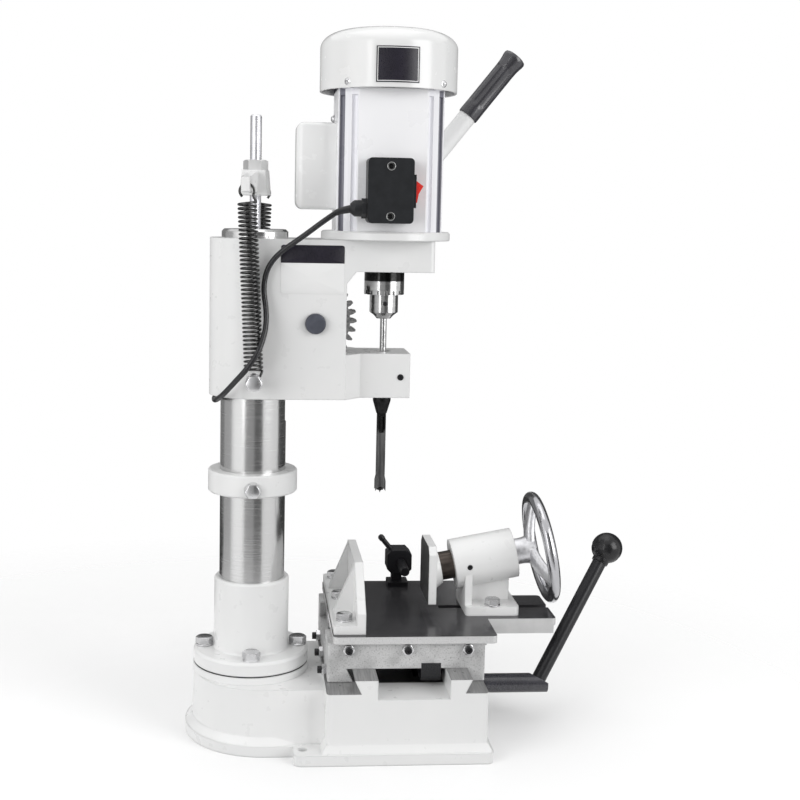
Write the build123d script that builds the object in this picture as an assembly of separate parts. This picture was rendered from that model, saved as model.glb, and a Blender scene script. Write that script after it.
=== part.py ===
# Hollow chisel mortiser: a bench machine with a round column, a spring-lifted head and a cross-slide table.
# Millimetres. X runs from the column to the operator, Y to the far side, Z up.
# The origin is on the column axis, on the underside of the base.
import math
import os
from build123d import *

os.makedirs("parts", exist_ok=True)

# Fits
SLIDE = 0.06          # running clearance of bores on shafts and of slide flats
SEAT = 0.02           # clearance of parts that stay put in their seats

# Column, its socket and the spring rod
COLUMN_R = 40.0
COLUMN_BORE_R = 18.0
COLUMN_TOP = 621.0
SOCKET_FLANGE_R = 71.0
SOCKET_FLANGE_Z = (88.0, 105.0)
SOCKET_TUBE_R = 46.0
SOCKET_TOP = 194.0
FLANGE_BOLT_R = 58.0
GASKET_T = 1.0
ROD_R = 7.0
ROD_TOP = 756.0
HANGER_Z = (661.0, 691.0)
HANGER_TURN = 8.6

# Base casting
PED_X = 18.0
PED_R = (92.0, 88.0)
PED_TOP = 78.0
FOOT_T = 13.0
FOOT_R = 99.0
FOOT_Y = 127.0
FOOT_X = (50.0, 287.0)
LUG_HOLE = (61.0, 107.0, 5.5)
BLOCK_X = (88.0, 280.0)
BLOCK_Y = 117.0
LEDGE_Z = 83.0
WAY_TOP = 99.5
WAY_ROOT_X = (129.0, 252.0)
WAY_SLOPE = 0.5
CHANNEL_X = (148.5, 234.0)
CHANNEL_Z = 76.0

# Saddle and table slides
SADDLE_X = (91.0, 281.5)
SADDLE_Y = (-77.0, 125.0)
SADDLE_Z = (83.4, 131.5)
GIB_T = 7.0
TABLE_Y0 = 33.0
TAIL_NECK = 50.0
TAIL_Z = (110.5, 131.5)
TABLE_X = (97.0, 295.0)
TABLE_Y = (-84.0, 150.0)
TABLE_Z = (132.0, 141.0)
WING_X = 382.0
WING_Y = (-18.0, 80.0)
WING_Z = 122.0
GIB_SCREW_X = (116.0, 187.0, 260.0)
GIB_SCREW_Y = (-57.0, 5.0, 68.0)

# Rack drives: module, teeth, pinion centre
FEED_M = 3.5
FEED_TEETH = 28
FEED_X = 71.5
FEED_Z = 512.0
SIDE_M = 2.0
SIDE_TEETH = 34
SIDE_Z = 51.0
RACK_X = (204.0, 228.0)
BACKLASH = 0.3

# Side lever
LEVER_SHAFT_R = 12.0
LEVER_KNEE_X = 364.0
LEVER_END_X = 376.5
LEVER_DIR = Vector(0.511, 0.290, 0.809).normalized()
LEVER_FOOT = 5.5
LEVER_LENGTH = 198.0
BALL_R = 20.0

# Fixed jaw
JAW_X = (98.0, 126.0, 136.5)
JAW_Y = (-75.0, 149.0)
JAW_FOOT_Z = 152.0
JAW_SHOULDER_Z = 166.0
JAW_TOP = 215.0
JAW_TOP_Y = (-21.0, 89.0)
JAW_BOLTS = ((112.0, -52.0), (112.0, 38.0), (112.0, 130.0))

# Vise, on an axis that dips toward the fixed jaw
VISE_TILT = 10.8
VISE_START = (256.6, TABLE_Y0, 197.6)
VISE_BODY_R = 31.5
VISE_BODY_L = 80.0
RAM_R = 18.0
SCREW_R = 9.0
CLAMP_X = (221.0, 231.0)
CLAMP_Z = (156.0, 228.0)
CLAMP_HALF = 39.0
VISE_FOOT_X = (269.0, 337.0)
VISE_FOOT_HALF = 40.0
VISE_FOOT_TOP = 152.5
VISE_BOLTS = ((304.0, TABLE_Y0 - 31.0), (304.0, TABLE_Y0 + 31.0))
WHEEL_R = 64.5
WHEEL_RIM_R = 7.5
WHEEL_S = 116.5
HUB_R = 17.5

# Work stop at the back of the table
STOP_X = (182.5, 215.5)
STOP_Y = (118.0, 149.0)
STOP_Z = (160.0, 192.0)
STOP_ROD_X = 201.0
STOP_ROD_Z = 175.0
STOP_ROD_R = 6.2
STOP_ROD_Y = (74.0, 158.0)

# Head casting
HEAD_R = 54.0
HEAD_X = 108.0
HEAD_Z = (421.5, 610.5)
ARM_X = 212.0
ARM_Z = 573.5
NOSE_X = 187.5
NOSE_Z = 475.0
NOSE_HALF = 33.0
HEAD_WALL = 11.0
FAR_BOSS_Y = 92.0
COLLAR_R = 54.5
COLLAR_Z = (302.0, 329.0)

# Feed lever, on the far side
FEED_LEVER_Y = 122.0
FEED_LEVER_ANGLE = 51.7
FEED_LEVER_R = 12.0
GRIP_FROM = 328.0
GRIP_TO = 427.0
GRIP_R = 14.8

# Spindle, chuck, chisel and bit
AXIS_X = 157.5
CHUCK_R = 24.3
CHUCK_Z = (515.0, 544.6, 573.0)
CHISEL_TIP = 301.0
CHISEL_W = 12.8
BIT_R = 4.0

# Motor
PLATE_R = 78.0
PLATE_TOP = 621.0
FRAME_HALF = 62.5
FRAME_FLAT = 40.0
FRAME_TOP = 786.0
COVER_R = 82.2
COVER_Z = (785.0, 857.0)
COVER_SHOULDER = (36.0, 21.0)
COVER_T = 2.0
CAP_X = (47.5, 95.0)
CAP_Z = (645.6, 748.0)
SWITCH_X = (127.0, 180.0)
SWITCH_Y = (-90.0, -62.5)
SWITCH_Z = (631.0, 705.5)
ROCKER_PIVOT = (178.5, -78.0, 668.0)
ROCKER_TILT = 20.0
ROCKER_PIN_R = 1.5
GLAND = (-78.0, 647.6)
GLAND_X = 108.0

# Return springs
SPRING_Y = 68.5
SPRING_MEAN_R = 10.3
SPRING_WIRE_R = 1.35
SPRING_TURNS = 22
SPRING_HOOK_R = 8.5
HOOK_Z = 665.0
ANCHOR_Z = 444.0

# Power cord
CORD_R = 3.25
CORD_LIE = 4.6
COIL_R = 47.0
COIL_STEP = 7.0


# Plain solids placed by their own coordinates
def slab(x0, x1, y0, y1, z0, z1):
    return Pos((x0 + x1) / 2, (y0 + y1) / 2, (z0 + z1) / 2) * Box(x1 - x0, y1 - y0, z1 - z0)


def rod_z(x, y, z0, z1, r):
    return Pos(x, y, (z0 + z1) / 2) * Cylinder(r, z1 - z0)


def rod_y(x, z, y0, y1, r):
    return Pos(x, (y0 + y1) / 2, z) * Rot(90, 0, 0) * Cylinder(r, y1 - y0)


def rod_x(y, z, x0, x1, r):
    return Pos((x0 + x1) / 2, y, z) * Rot(0, 90, 0) * Cylinder(r, x1 - x0)


def prism_z(points, z0, z1):
    face = make_face(Polyline(*[(x, y, z0) for x, y in points], close=True))
    return extrude(face, z1 - z0, dir=(0, 0, 1))


def prism_y(points, y0, y1):
    face = make_face(Polyline(*[(x, y0, z) for x, z in points], close=True))
    return extrude(face, y1 - y0, dir=(0, 1, 0))


def prism_x(points, x0, x1):
    face = make_face(Polyline(*[(x0, y, z) for y, z in points], close=True))
    return extrude(face, x1 - x0, dir=(1, 0, 0))


def turned(profile, x=0.0, y=0.0):
    """Solid of revolution about a vertical axis from (radius, height) points."""
    face = make_face(Polyline(*[(r, 0, z) for r, z in profile], close=True))
    return Pos(x, y, 0) * revolve(face, Axis.Z)


def hexagon(across, length):
    """Hexagonal prism along Z from 0."""
    return extrude(RegularPolygon(across / math.sqrt(3), 6), length)


def along(origin, direction, shape):
    """Shape built along Z, laid along a direction from an origin."""
    return Plane(origin=origin, z_dir=direction).location * shape


def stud(r, z0, z1):
    """Plain eight-sided stand-in for a threaded shank along Z."""
    return Pos(0, 0, z0) * extrude(RegularPolygon(r, 8), z1 - z0)


def hex_bolt(across, head, shank_r, shank):
    """Hexagon bolt: seat at 0, head above it, shank below."""
    return hexagon(across, head) + stud(shank_r, -shank, head / 2)


def washer(outer, inner, thick, sides=12):
    """Flat ring from 0 upward."""
    return extrude(RegularPolygon(outer, sides) - RegularPolygon(inner, sides, major_radius=False), thick)


def ring(outer, inner, thick):
    return rod_z(0, 0, 0, thick, outer) - rod_z(0, 0, -1, thick + 1, inner)


def vertical(shape):
    return shape.edges().filter_by(Axis.Z)


# Rack and pinion teeth
def pinion_outline(module, teeth, first_angle):
    """Tooth outline with chords inside the involute flanks."""
    pitch_r = module * teeth / 2
    base_r = pitch_r * math.cos(math.radians(20))
    tip_r = pitch_r + module
    root_r = pitch_r - 1.25 * module
    start_r = max(base_r, root_r)
    flank = [pitch_r - module * 0.1, tip_r]
    inv20 = math.tan(math.radians(20)) - math.radians(20)
    half = math.pi / (2 * teeth) - BACKLASH / 2 / pitch_r

    def lean(r):
        a = math.acos(min(1.0, base_r / r))
        return half + inv20 - (math.tan(a) - a)

    points = []
    for k in range(teeth):
        mid = math.radians(first_angle) + 2 * math.pi * k / teeth
        side = [(root_r, lean(start_r))] + [(r, lean(r)) for r in flank]
        points += [(r, mid - a) for r, a in side]
        points += [(r, mid + a) for r, a in reversed(side)]
    return [(r * math.cos(a), r * math.sin(a)) for r, a in points]


def rack_outline(module, start, end, gap_at, tip, back):
    """Rack profile as (along, height) points; heights grow from back to tip, with a gap at gap_at."""
    pitch = math.pi * module
    sign = 1 if tip > back else -1
    root = tip - sign * 2.25 * module
    slope = math.tan(math.radians(20))
    half_pitch = pitch / 4 - BACKLASH / 2
    half_tip = half_pitch - module * slope
    half_root = half_pitch + 1.25 * module * slope
    points = [(start, back), (start, root)]
    first = math.ceil((start + half_root + 0.5 - gap_at) / pitch - 0.5)
    centre = gap_at + (first + 0.5) * pitch
    while centre + half_root + 0.5 < end:
        points += [(centre - half_root, root), (centre - half_tip, tip)]
        points += [(centre + half_tip, tip), (centre + half_root, root)]
        centre += pitch
    return points + [(end, root), (end, back)]


# Curves of round wire and cord
def arc_between(a, corner, b):
    """Arc from a to b, tangent to the lines that meet at a corner equally far from both."""
    mid = (a + b) * 0.5
    leg = (a - corner).length
    drop = (mid - corner).length
    rise = leg * (1 - (a - mid).length / leg) * leg / drop
    return ThreePointArc(a, corner + (mid - corner) * (rise / drop), b)


def biarc(p0, t0, p1, t1):
    """Two tangent arcs from point p0 with direction t0 to p1 with direction t1."""
    v = p1 - p0
    t = t0 + t1
    a = t.dot(t) - 4
    b = v.dot(t)
    d = (b - math.sqrt(b * b - a * v.dot(v))) / a
    q0 = p0 + t0 * d
    q1 = p1 - t1 * d
    joint = (q0 + q1) * 0.5
    return [arc_between(p0, q0, joint), arc_between(joint, q1, p1)]


def rounded_route(name, points):
    """Straight runs joined by tangent arcs, each as wide as its shorter run allows."""
    points = [Vector(*p) for p in points]
    edges = []
    radii = []
    at = points[0]
    for before, corner, after in zip(points, points[1:], points[2:]):
        u = (before - corner).normalized()
        w = (after - corner).normalized()
        leg = 0.45 * min((before - corner).length, (after - corner).length)
        half_turn = (math.pi - math.radians(u.get_angle(w))) / 2
        radii.append(leg / math.tan(half_turn))
        edges += [Line(at, corner + u * leg), arc_between(corner + u * leg, corner, corner + w * leg)]
        at = corner + w * leg
    edges.append(Line(at, points[-1]))
    print(name, "bend radii", [round(r, 1) for r in radii])
    return Wire(edges)


def tube(path, section):
    return sweep(Plane(origin=path @ 0, z_dir=path % 0) * section, path=path)


def self_gap(name, path, wire_r, apart):
    """Least free gap of a wound wire to itself, from points along its path."""
    count = int(path.length / 2.0)
    pts = [path @ (i / count) for i in range(count + 1)]
    skip = int(apart / 2.0)
    least = min((pts[i] - pts[j]).length for i in range(0, count, 2) for j in range(i + skip, count + 1, 2))
    print(name, "least gap to itself", round(least - 2 * wire_r, 2))


# Base, column and springs
def base_casting():
    foot = rod_z(PED_X, 0, 0, FOOT_T, FOOT_R) + slab(PED_X, FOOT_X[0] + 10, -FOOT_R, FOOT_R, 0, FOOT_T)
    pad = slab(*FOOT_X, -FOOT_Y, FOOT_Y, 0, FOOT_T)
    foot += fillet(vertical(pad), 9)
    flare_h = 9.0
    flare = Pos(PED_X, 0, FOOT_T + flare_h / 2) * Cone(FOOT_R - 1, PED_R[0] - 0.8, flare_h)
    skirt = Pos((BLOCK_X[0] + BLOCK_X[1]) / 2, 0, FOOT_T)
    rim = Rectangle(BLOCK_X[1] - BLOCK_X[0] + 11, 2 * BLOCK_Y + 11)
    flare += skirt * extrude(rim, flare_h, taper=math.degrees(math.atan(5.5 / flare_h)))
    pedestal = Pos(PED_X, 0, PED_TOP / 2) * Cone(*PED_R, PED_TOP)
    sides = [(-PED_R[0], 0), (PED_R[0], 0), (PED_R[1], PED_TOP), (-PED_R[1], PED_TOP)]
    pedestal += prism_x(sides, PED_X, BLOCK_X[0] + 10)
    boss = rod_z(0, 0, PED_TOP - 1, SOCKET_FLANGE_Z[0] - GASKET_T, SOCKET_FLANGE_R + 0.6)
    block = fillet(vertical(slab(*BLOCK_X, -BLOCK_Y, BLOCK_Y, 0, LEDGE_Z)), 5)
    rise = (WAY_TOP - LEDGE_Z) * WAY_SLOPE
    left, right = WAY_ROOT_X
    ways = prism_y([(left, LEDGE_Z - 1), (left, LEDGE_Z), (left - rise, WAY_TOP), (right + rise, WAY_TOP),
                    (right, LEDGE_Z), (right, LEDGE_Z - 1)], -BLOCK_Y, BLOCK_Y)
    body = foot + flare + pedestal + boss + block + ways
    body -= slab(*CHANNEL_X, -BLOCK_Y - 1, BLOCK_Y + 1, CHANNEL_Z, WAY_TOP + 1)
    body -= slab(BLOCK_X[0] + 10, BLOCK_X[1] - 10, -BLOCK_Y + 12, BLOCK_Y - 12, -1, CHANNEL_Z - 14)
    body += slab(180, 196, -BLOCK_Y + 11, BLOCK_Y - 11, 0, CHANNEL_Z - 13)
    body += rod_x(0, SIDE_Z, 242, BLOCK_X[1] - 5, LEVER_SHAFT_R + 10)
    body -= slab(RACK_X[0] - 4, RACK_X[1] + 5, -39, 39, CHANNEL_Z - 16, CHANNEL_Z + 1)
    body -= rod_x(0, SIDE_Z, 179, BLOCK_X[1] + 20, LEVER_SHAFT_R + SLIDE)
    for side in (-1, 1):
        body -= rod_z(LUG_HOLE[0], side * LUG_HOLE[1], -1, FOOT_T + 1, LUG_HOLE[2])
    for x, y in flange_points():
        body -= rod_z(x, y, 62, PED_TOP + 20, 6 + SEAT)
    return body


def flange_points():
    return [(FLANGE_BOLT_R * c, FLANGE_BOLT_R * s) for c, s in ((1, 0), (0, 1), (-1, 0), (0, -1))]


def flange_gasket():
    z1 = SOCKET_FLANGE_Z[0]
    sheet = Pos(0, 0, z1 - GASKET_T) * ring(SOCKET_FLANGE_R - 0.3, COLUMN_R + 1, GASKET_T)
    for x, y in flange_points():
        sheet -= Pos(x, y, 0) * stud(7.2, z1 - GASKET_T - 1, z1 + 1)
    return sheet


def column_socket():
    z0, z1 = SOCKET_FLANGE_Z
    bore = COLUMN_R + SEAT
    flange = SOCKET_FLANGE_R
    body = turned([(bore, z0), (flange - 1, z0), (flange, z0 + 1), (flange, z1 - 3),
                   (flange - 3, z1), (SOCKET_TUBE_R + 1.4, z1), (SOCKET_TUBE_R, z1 + 2),
                   (SOCKET_TUBE_R, SOCKET_TOP - 2), (SOCKET_TUBE_R - 2, SOCKET_TOP), (bore, SOCKET_TOP)])
    for x, y in flange_points():
        body -= rod_z(x, y, z0 - 1, z1 + 1, 6.6)
    return body


def flange_bolts():
    top = SOCKET_FLANGE_Z[1]
    pieces = []
    for x, y in flange_points():
        pieces.append(Pos(x, y, top) * washer(10.4, 6.3, 3))
        pieces.append(Pos(x, y, top + 3) * hex_bolt(19, 8, 6, 40))
    return Compound(pieces)


def slot_ends():
    """Heights that the feed gear and its rack need in the column."""
    reach = FEED_M * FEED_TEETH / 2 + 6
    return FEED_Z - 80 - reach + 10, FEED_Z + reach - 10


def column():
    z0 = SOCKET_FLANGE_Z[0] - GASKET_T
    post = turned([(0, z0), (COLUMN_R, z0), (COLUMN_R, COLUMN_TOP - 3), (COLUMN_R - 3, COLUMN_TOP),
                   (0, COLUMN_TOP)])
    post -= rod_z(0, 0, z0 - 1, 580, COLUMN_BORE_R)
    post -= rod_z(0, 0, 570, COLUMN_TOP + 1, ROD_R + SEAT)
    low, high = slot_ends()
    return post - slab(6, COLUMN_R + 5, -11, 11, low, high)


def column_rack():
    low, high = slot_ends()
    pitch_x = FEED_X - FEED_M * FEED_TEETH / 2
    outline = rack_outline(FEED_M, low, high, FEED_Z, pitch_x + FEED_M, 6)
    return prism_y([(x, z) for z, x in outline], -11 + SEAT, 11 - SEAT)


def spring_rod():
    return turned([(0, 590), (ROD_R, 590), (ROD_R, ROD_TOP - 2), (ROD_R - 2, ROD_TOP), (0, ROD_TOP)])


def spring_hanger():
    """Cross bar with an eye at each end for a spring hook."""
    z0, z1 = HANGER_Z
    wide = prism_y([(-16.5, z0), (16.5, z0), (14, z1), (-14, z1)], -17, 17)
    arm_half = 5.0
    arms = prism_x([(-SPRING_Y - 11, z0 + 3), (SPRING_Y + 11, z0 + 3), (SPRING_Y + 11, z0 + 20), (14, z1 - 2),
                    (-14, z1 - 2), (-SPRING_Y - 11, z0 + 20)], -arm_half, arm_half)
    bar = wide + arms
    for side in (-1, 1):
        bar -= rod_x(side * (SPRING_Y + 3), HOOK_Z + SPRING_HOOK_R, -20, 20, 4.2)
    bar -= rod_z(0, 0, z0 - 1, z1 + 1, ROD_R + SEAT)
    return Rot(0, 0, -HANGER_TURN) * bar


def hanger_nut():
    nut = Pos(0, 0, HANGER_Z[1]) * hexagon(26, 12)
    return nut - rod_z(0, 0, HANGER_Z[1] - 1, HANGER_Z[1] + 13, ROD_R + SEAT)


def spring_ends():
    """Upper hook on the near side and lower hook under it, with the far side opposite."""
    turn = math.radians(HANGER_TURN)
    top = Vector(-SPRING_Y * math.sin(turn), -SPRING_Y * math.cos(turn), HOOK_Z)
    return Vector(0, -SPRING_Y, ANCHOR_Z), top


def spring_path():
    """Wire of an extension spring along Z, with a standing hook at each end; 0 is the lower hook's centre."""
    bottom, top = spring_ends()
    length = (top - bottom).length
    hook = SPRING_HOOK_R
    aside = 3.0
    halves = 2 * SPRING_TURNS - 1
    pitch = 2 * (length - 2 * hook) / (halves + 2)
    low = hook + pitch / 2
    r = SPRING_MEAN_R
    east = Vector(1, 0, 0)
    up = Vector(0, 0, 1)

    def point(k):
        a = math.pi * (k - 0.5)
        return Vector(r * math.cos(a), r * math.sin(a), low + pitch * k / 2)

    def heading(k):
        a = math.pi * (k - 0.5)
        return Vector(-r * math.sin(a), r * math.cos(a), pitch / 2 / math.pi).normalized()

    stations = [(Vector(-hook, aside, 0), up * -1), (Vector(0, aside, -hook), east),
                (Vector(0, aside, hook), east * -1)]
    stations += [(point(k), heading(k)) for k in range(halves + 1)]
    stations += [(Vector(0, -aside, length - hook), east), (Vector(0, -aside, length + hook), east * -1),
                 (Vector(-hook, -aside, length), up * -1)]
    stub = up * (2 * SPRING_WIRE_R)
    edges = [Line(stations[0][0] + stub, stations[0][0])]
    for (p0, t0), (p1, t1) in zip(stations, stations[1:]):
        edges += biarc(p0, t0, p1, t1)
    edges.append(Line(stations[-1][0], stations[-1][0] - stub))
    return Wire(edges)


def near_spring():
    path = spring_path()
    self_gap("return spring", path, SPRING_WIRE_R, 30)
    bottom, top = spring_ends()
    place = Plane(origin=bottom, x_dir=(1, 0, 0), z_dir=top - bottom).location
    return place * tube(path, RegularPolygon(SPRING_WIRE_R, 3))


def far_spring():
    return Rot(0, 0, 180) * near_spring()


# Depth collar
def stop_collar():
    z0, z1 = COLLAR_Z
    body = turned([(COLUMN_R + SLIDE, z0), (COLLAR_R - 1.5, z0), (COLLAR_R, z0 + 1.5), (COLLAR_R, z1 - 1.5),
                   (COLLAR_R - 1.5, z1), (COLUMN_R + SLIDE, z1)])
    mid = (z0 + z1) / 2 - 4
    body -= rod_y(0, mid, -COLLAR_R - 1, -COLUMN_R + 5, 5 + SEAT)
    return body - rod_y(0, mid, -COLLAR_R - 1, -COLLAR_R + 1.2, 10)


def collar_bolt():
    mid = (COLLAR_Z[0] + COLLAR_Z[1]) / 2 - 4
    return along((0, -COLLAR_R + 1.2, mid), (0, -1, 0), hex_bolt(16, 7, 5, 12.5))


# Saddle and its side lever
def way_x(z, side):
    """Flank of the base ways at a height, left (0) or right (1)."""
    reach = (z - LEDGE_Z) * WAY_SLOPE
    return WAY_ROOT_X[0] - reach if side == 0 else WAY_ROOT_X[1] + reach


def tail_half(z):
    return TAIL_NECK + (TAIL_Z[1] - z) * WAY_SLOPE


def saddle():
    x0, x1 = SADDLE_X
    y0, y1 = SADDLE_Y
    z0, z1 = SADDLE_Z
    body = fillet(vertical(slab(x0, x1, y0, y1, z0, z1)), 3)
    roof = WAY_TOP + SLIDE
    low = z0 - 1
    groove = [(way_x(low, 0) - GIB_T, low), (way_x(roof, 0) - GIB_T, roof),
              (way_x(roof, 1) + SLIDE, roof), (way_x(low, 1) + SLIDE, low)]
    body -= prism_y(groove, y0 - 1, y1 + 1)
    body -= slab(RACK_X[0] - SEAT, RACK_X[1] + SEAT, y0 - 1, y1 + 1, roof - 1, roof + 6.4)
    floor = TAIL_Z[0] - 0.5
    top = z1 + 1
    upper = [(TABLE_Y0 - tail_half(floor) - GIB_T, floor), (TABLE_Y0 + tail_half(floor) + SLIDE, floor),
             (TABLE_Y0 + tail_half(top) + SLIDE, top), (TABLE_Y0 - tail_half(top) - GIB_T, top)]
    body -= prism_x(upper, x0 - 1, x1 + 1)
    for x in GIB_SCREW_X:
        body -= rod_y(x, 124, y0 - 1, TABLE_Y0 - tail_half(124) - 2, 4 + SEAT)
    for y in GIB_SCREW_Y:
        body -= rod_x(y, 92, x0 - 1, way_x(92, 0) - 2, 4 + SEAT)
    return body


def saddle_gib():
    z0 = SADDLE_Z[0] + 0.3
    z1 = WAY_TOP - 0.3
    strip = [(way_x(z0, 0) - GIB_T, z0), (way_x(z1, 0) - GIB_T, z1),
             (way_x(z1, 0) - SLIDE, z1), (way_x(z0, 0) - SLIDE, z0)]
    return prism_y(strip, SADDLE_Y[0] + 9, SADDLE_Y[1] - 4)


def table_gib():
    z0 = TAIL_Z[0]
    z1 = TAIL_Z[1] - 0.4
    strip = [(TABLE_Y0 - tail_half(z0) - GIB_T, z0), (TABLE_Y0 - tail_half(z1) - GIB_T, z1),
             (TABLE_Y0 - tail_half(z1) - SLIDE, z1), (TABLE_Y0 - tail_half(z0) - SLIDE, z0)]
    return prism_x(strip, SADDLE_X[0] + 4, SADDLE_X[1] - 4)


def gib_screws():
    """Grub screws that press on the gibs, each with a locknut."""
    nut = hexagon(13, 6) - stud(4 + SEAT, -1, 7)
    pieces = []
    for x in GIB_SCREW_X:
        start = (x, SADDLE_Y[0], 124)
        pieces.append(along(start, (0, -1, 0), nut))
        inside = TABLE_Y0 - tail_half(120) - GIB_T - SADDLE_Y[0]
        pieces.append(along(start, (0, -1, 0), stud(4, -inside, 11)))
    for y in GIB_SCREW_Y:
        start = (SADDLE_X[0], y, 92)
        pieces.append(along(start, (-1, 0, 0), nut))
        inside = way_x(96, 0) - GIB_T - SADDLE_X[0]
        pieces.append(along(start, (-1, 0, 0), stud(4, -inside, 9)))
    return Compound(pieces)


def saddle_rack():
    pitch_z = SIDE_Z + SIDE_M * SIDE_TEETH / 2
    outline = rack_outline(SIDE_M, *SADDLE_Y, 0, pitch_z - SIDE_M, WAY_TOP + SLIDE + 6.4)
    return prism_x(outline, *RACK_X)


def lever_shaft():
    """Cross shaft with a thrust collar and a mitred end for the lever."""
    knee = Vector(LEVER_KNEE_X, 0, SIDE_Z)
    shaft = rod_x(0, SIDE_Z, 182, LEVER_END_X, LEVER_SHAFT_R)
    shaft += rod_x(0, SIDE_Z, RACK_X[1], RACK_X[1] + 4, LEVER_SHAFT_R + 5)
    return split(shaft, Plane(origin=knee + LEVER_DIR * LEVER_FOOT, z_dir=LEVER_DIR), keep=Keep.BOTTOM)


def lever_pinion():
    gear = prism_x(pinion_outline(SIDE_M, SIDE_TEETH, 90), RACK_X[0] + 1, RACK_X[1] - 1)
    gear = Pos(0, 0, SIDE_Z) * gear
    return gear - rod_x(0, SIDE_Z, 190, 240, LEVER_SHAFT_R + SEAT)


def lever_arm():
    knee = Vector(LEVER_KNEE_X, 0, SIDE_Z)
    stem = rod_z(0, 0, LEVER_FOOT, LEVER_LENGTH - 6, 9)
    stem = chamfer(stem.edges().group_by(Axis.Z)[-1], 1.5)
    return along(knee, LEVER_DIR, stem)


def ball_knob():
    """Ball with a short neck, turned from chords of its circle and bored for the lever."""
    neck_r = 10.8
    neck_z = -BALL_R - 2
    bore = 9 + SEAT
    first = -math.acos(neck_r / BALL_R)
    chords = 10
    turns = [first + (math.pi / 2 - first) * k / chords for k in range(chords)]
    profile = [(bore, neck_z), (neck_r, neck_z)]
    profile += [(BALL_R * math.cos(a), BALL_R * math.sin(a)) for a in turns]
    profile += [(0, BALL_R), (0, -6), (bore, -6)]
    centre = Vector(LEVER_KNEE_X, 0, SIDE_Z) + LEVER_DIR * LEVER_LENGTH
    return along(centre, LEVER_DIR, turned(profile))


# Table and what is fixed on it
def table():
    z0, z1 = TABLE_Z
    plate = fillet(vertical(slab(*TABLE_X, *TABLE_Y, z0, z1)), 6)
    wing = fillet(vertical(slab(TABLE_X[1] - 12, WING_X, *WING_Y, z0, z1)), 5)
    wing += slab(TABLE_X[1], WING_X - 3, WING_Y[0], WING_Y[1], WING_Z, z0 + 1)
    low = TAIL_Z[0]
    high = z0 + 1
    tail = [(TABLE_Y0 - tail_half(low), low), (TABLE_Y0 + tail_half(low), low),
            (TABLE_Y0 + tail_half(TAIL_Z[1]), TAIL_Z[1]), (TABLE_Y0 + tail_half(TAIL_Z[1]), high),
            (TABLE_Y0 - tail_half(TAIL_Z[1]), high), (TABLE_Y0 - tail_half(TAIL_Z[1]), TAIL_Z[1])]
    body = plate + wing + prism_x(tail, TABLE_X[0] + 2, TABLE_X[1] - 2)
    slot = slab(240, WING_X + 5, TABLE_Y0 - 6, TABLE_Y0 + 6, z1 - 7, z1 + 1)
    body -= slot + slab(240, WING_X + 5, TABLE_Y0 - 10, TABLE_Y0 + 10, z1 - 13, z1 - 6)
    for x, y in JAW_BOLTS + VISE_BOLTS:
        body -= rod_z(x, y, z0 - 1, z1 + 1, 5 + SEAT)
    return body


def fixed_jaw():
    """Angle casting with a tapering upright and an end rib on each side."""
    back, plate, front = JAW_X
    y0, y1 = JAW_Y
    foot = fillet(vertical(slab(back, front - 1, y0, y1, TABLE_Z[1], JAW_FOOT_Z)), 4)
    upright = prism_x([(y0, TABLE_Z[1]), (y1, TABLE_Z[1]), (y1, JAW_SHOULDER_Z), (JAW_TOP_Y[1], JAW_TOP),
                       (JAW_TOP_Y[0], JAW_TOP), (y0, JAW_SHOULDER_Z)], plate, front)
    rib = [(plate + 1, JAW_FOOT_Z - 1), (back + 3, JAW_FOOT_Z - 1), (back + 3, JAW_FOOT_Z),
           (plate, JAW_TOP - 2), (plate + 1, JAW_TOP - 2)]
    body = foot + upright
    for y in (JAW_TOP_Y[0], JAW_TOP_Y[1] - 10):
        body += prism_y(rib, y, y + 10)
    for x, y in JAW_BOLTS:
        body -= rod_z(x, y, TABLE_Z[1] - 1, JAW_FOOT_Z + 1, 5.5)
    return body


def table_bolts():
    pieces = []
    for (x, y), seat in [(b, JAW_FOOT_Z) for b in JAW_BOLTS] + [(b, VISE_FOOT_TOP) for b in VISE_BOLTS]:
        pieces.append(Pos(x, y, seat) * washer(10, 5.3, 2))
        pieces.append(Pos(x, y, seat + 2) * hex_bolt(17, 7, 5, seat + 1.5 - TABLE_Z[0]))
    return Compound(pieces)


TILT = math.radians(VISE_TILT)
VISE = Plane(origin=VISE_START, x_dir=(0, 1, 0), z_dir=(math.cos(TILT), 0, math.sin(TILT))).location


def vise_body():
    """Sleeve on a footed web, bored for the ram and its screw."""
    x0, x1 = VISE_FOOT_X
    y = TABLE_Y0
    sleeve = VISE * rod_z(0, 0, 0, VISE_BODY_L, VISE_BODY_R)
    foot = slab(x0, x1, y - VISE_FOOT_HALF, y + VISE_FOOT_HALF, TABLE_Z[1], VISE_FOOT_TOP)
    foot = fillet(vertical(foot), 6)
    wall = slab(x0, x0 + 9, y - 30, y + 30, VISE_FOOT_TOP - 1, 196)
    web = slab(x0, x1 - 8, y - 8, y + 8, VISE_FOOT_TOP - 1, 196)
    body = sleeve + foot + wall + web
    body -= VISE * rod_z(0, 0, -5, 70, RAM_R + SLIDE)
    body -= VISE * rod_z(0, 0, 60, 76, 15.5)
    body -= VISE * rod_z(0, 0, 70, VISE_BODY_L + 5, SCREW_R + 1 + SLIDE)
    body -= VISE * Pos(-VISE_BODY_R, 0, 18) * Rot(0, 90, 0) * Cylinder(3.5, 20)
    for bx, by in VISE_BOLTS:
        body -= rod_z(bx, by, TABLE_Z[1] - 1, VISE_FOOT_TOP + 1, 5.5)
    return body


def vise_screw():
    stages = [(2, 70.2, SCREW_R), (70.2, 75.8, 15), (75.8, 81, SCREW_R + 1), (81, 106, 8)]
    bar = rod_z(0, 0, *stages[0])
    for stage in stages[1:]:
        bar += rod_z(0, 0, *stage)
    return VISE * bar


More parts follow.
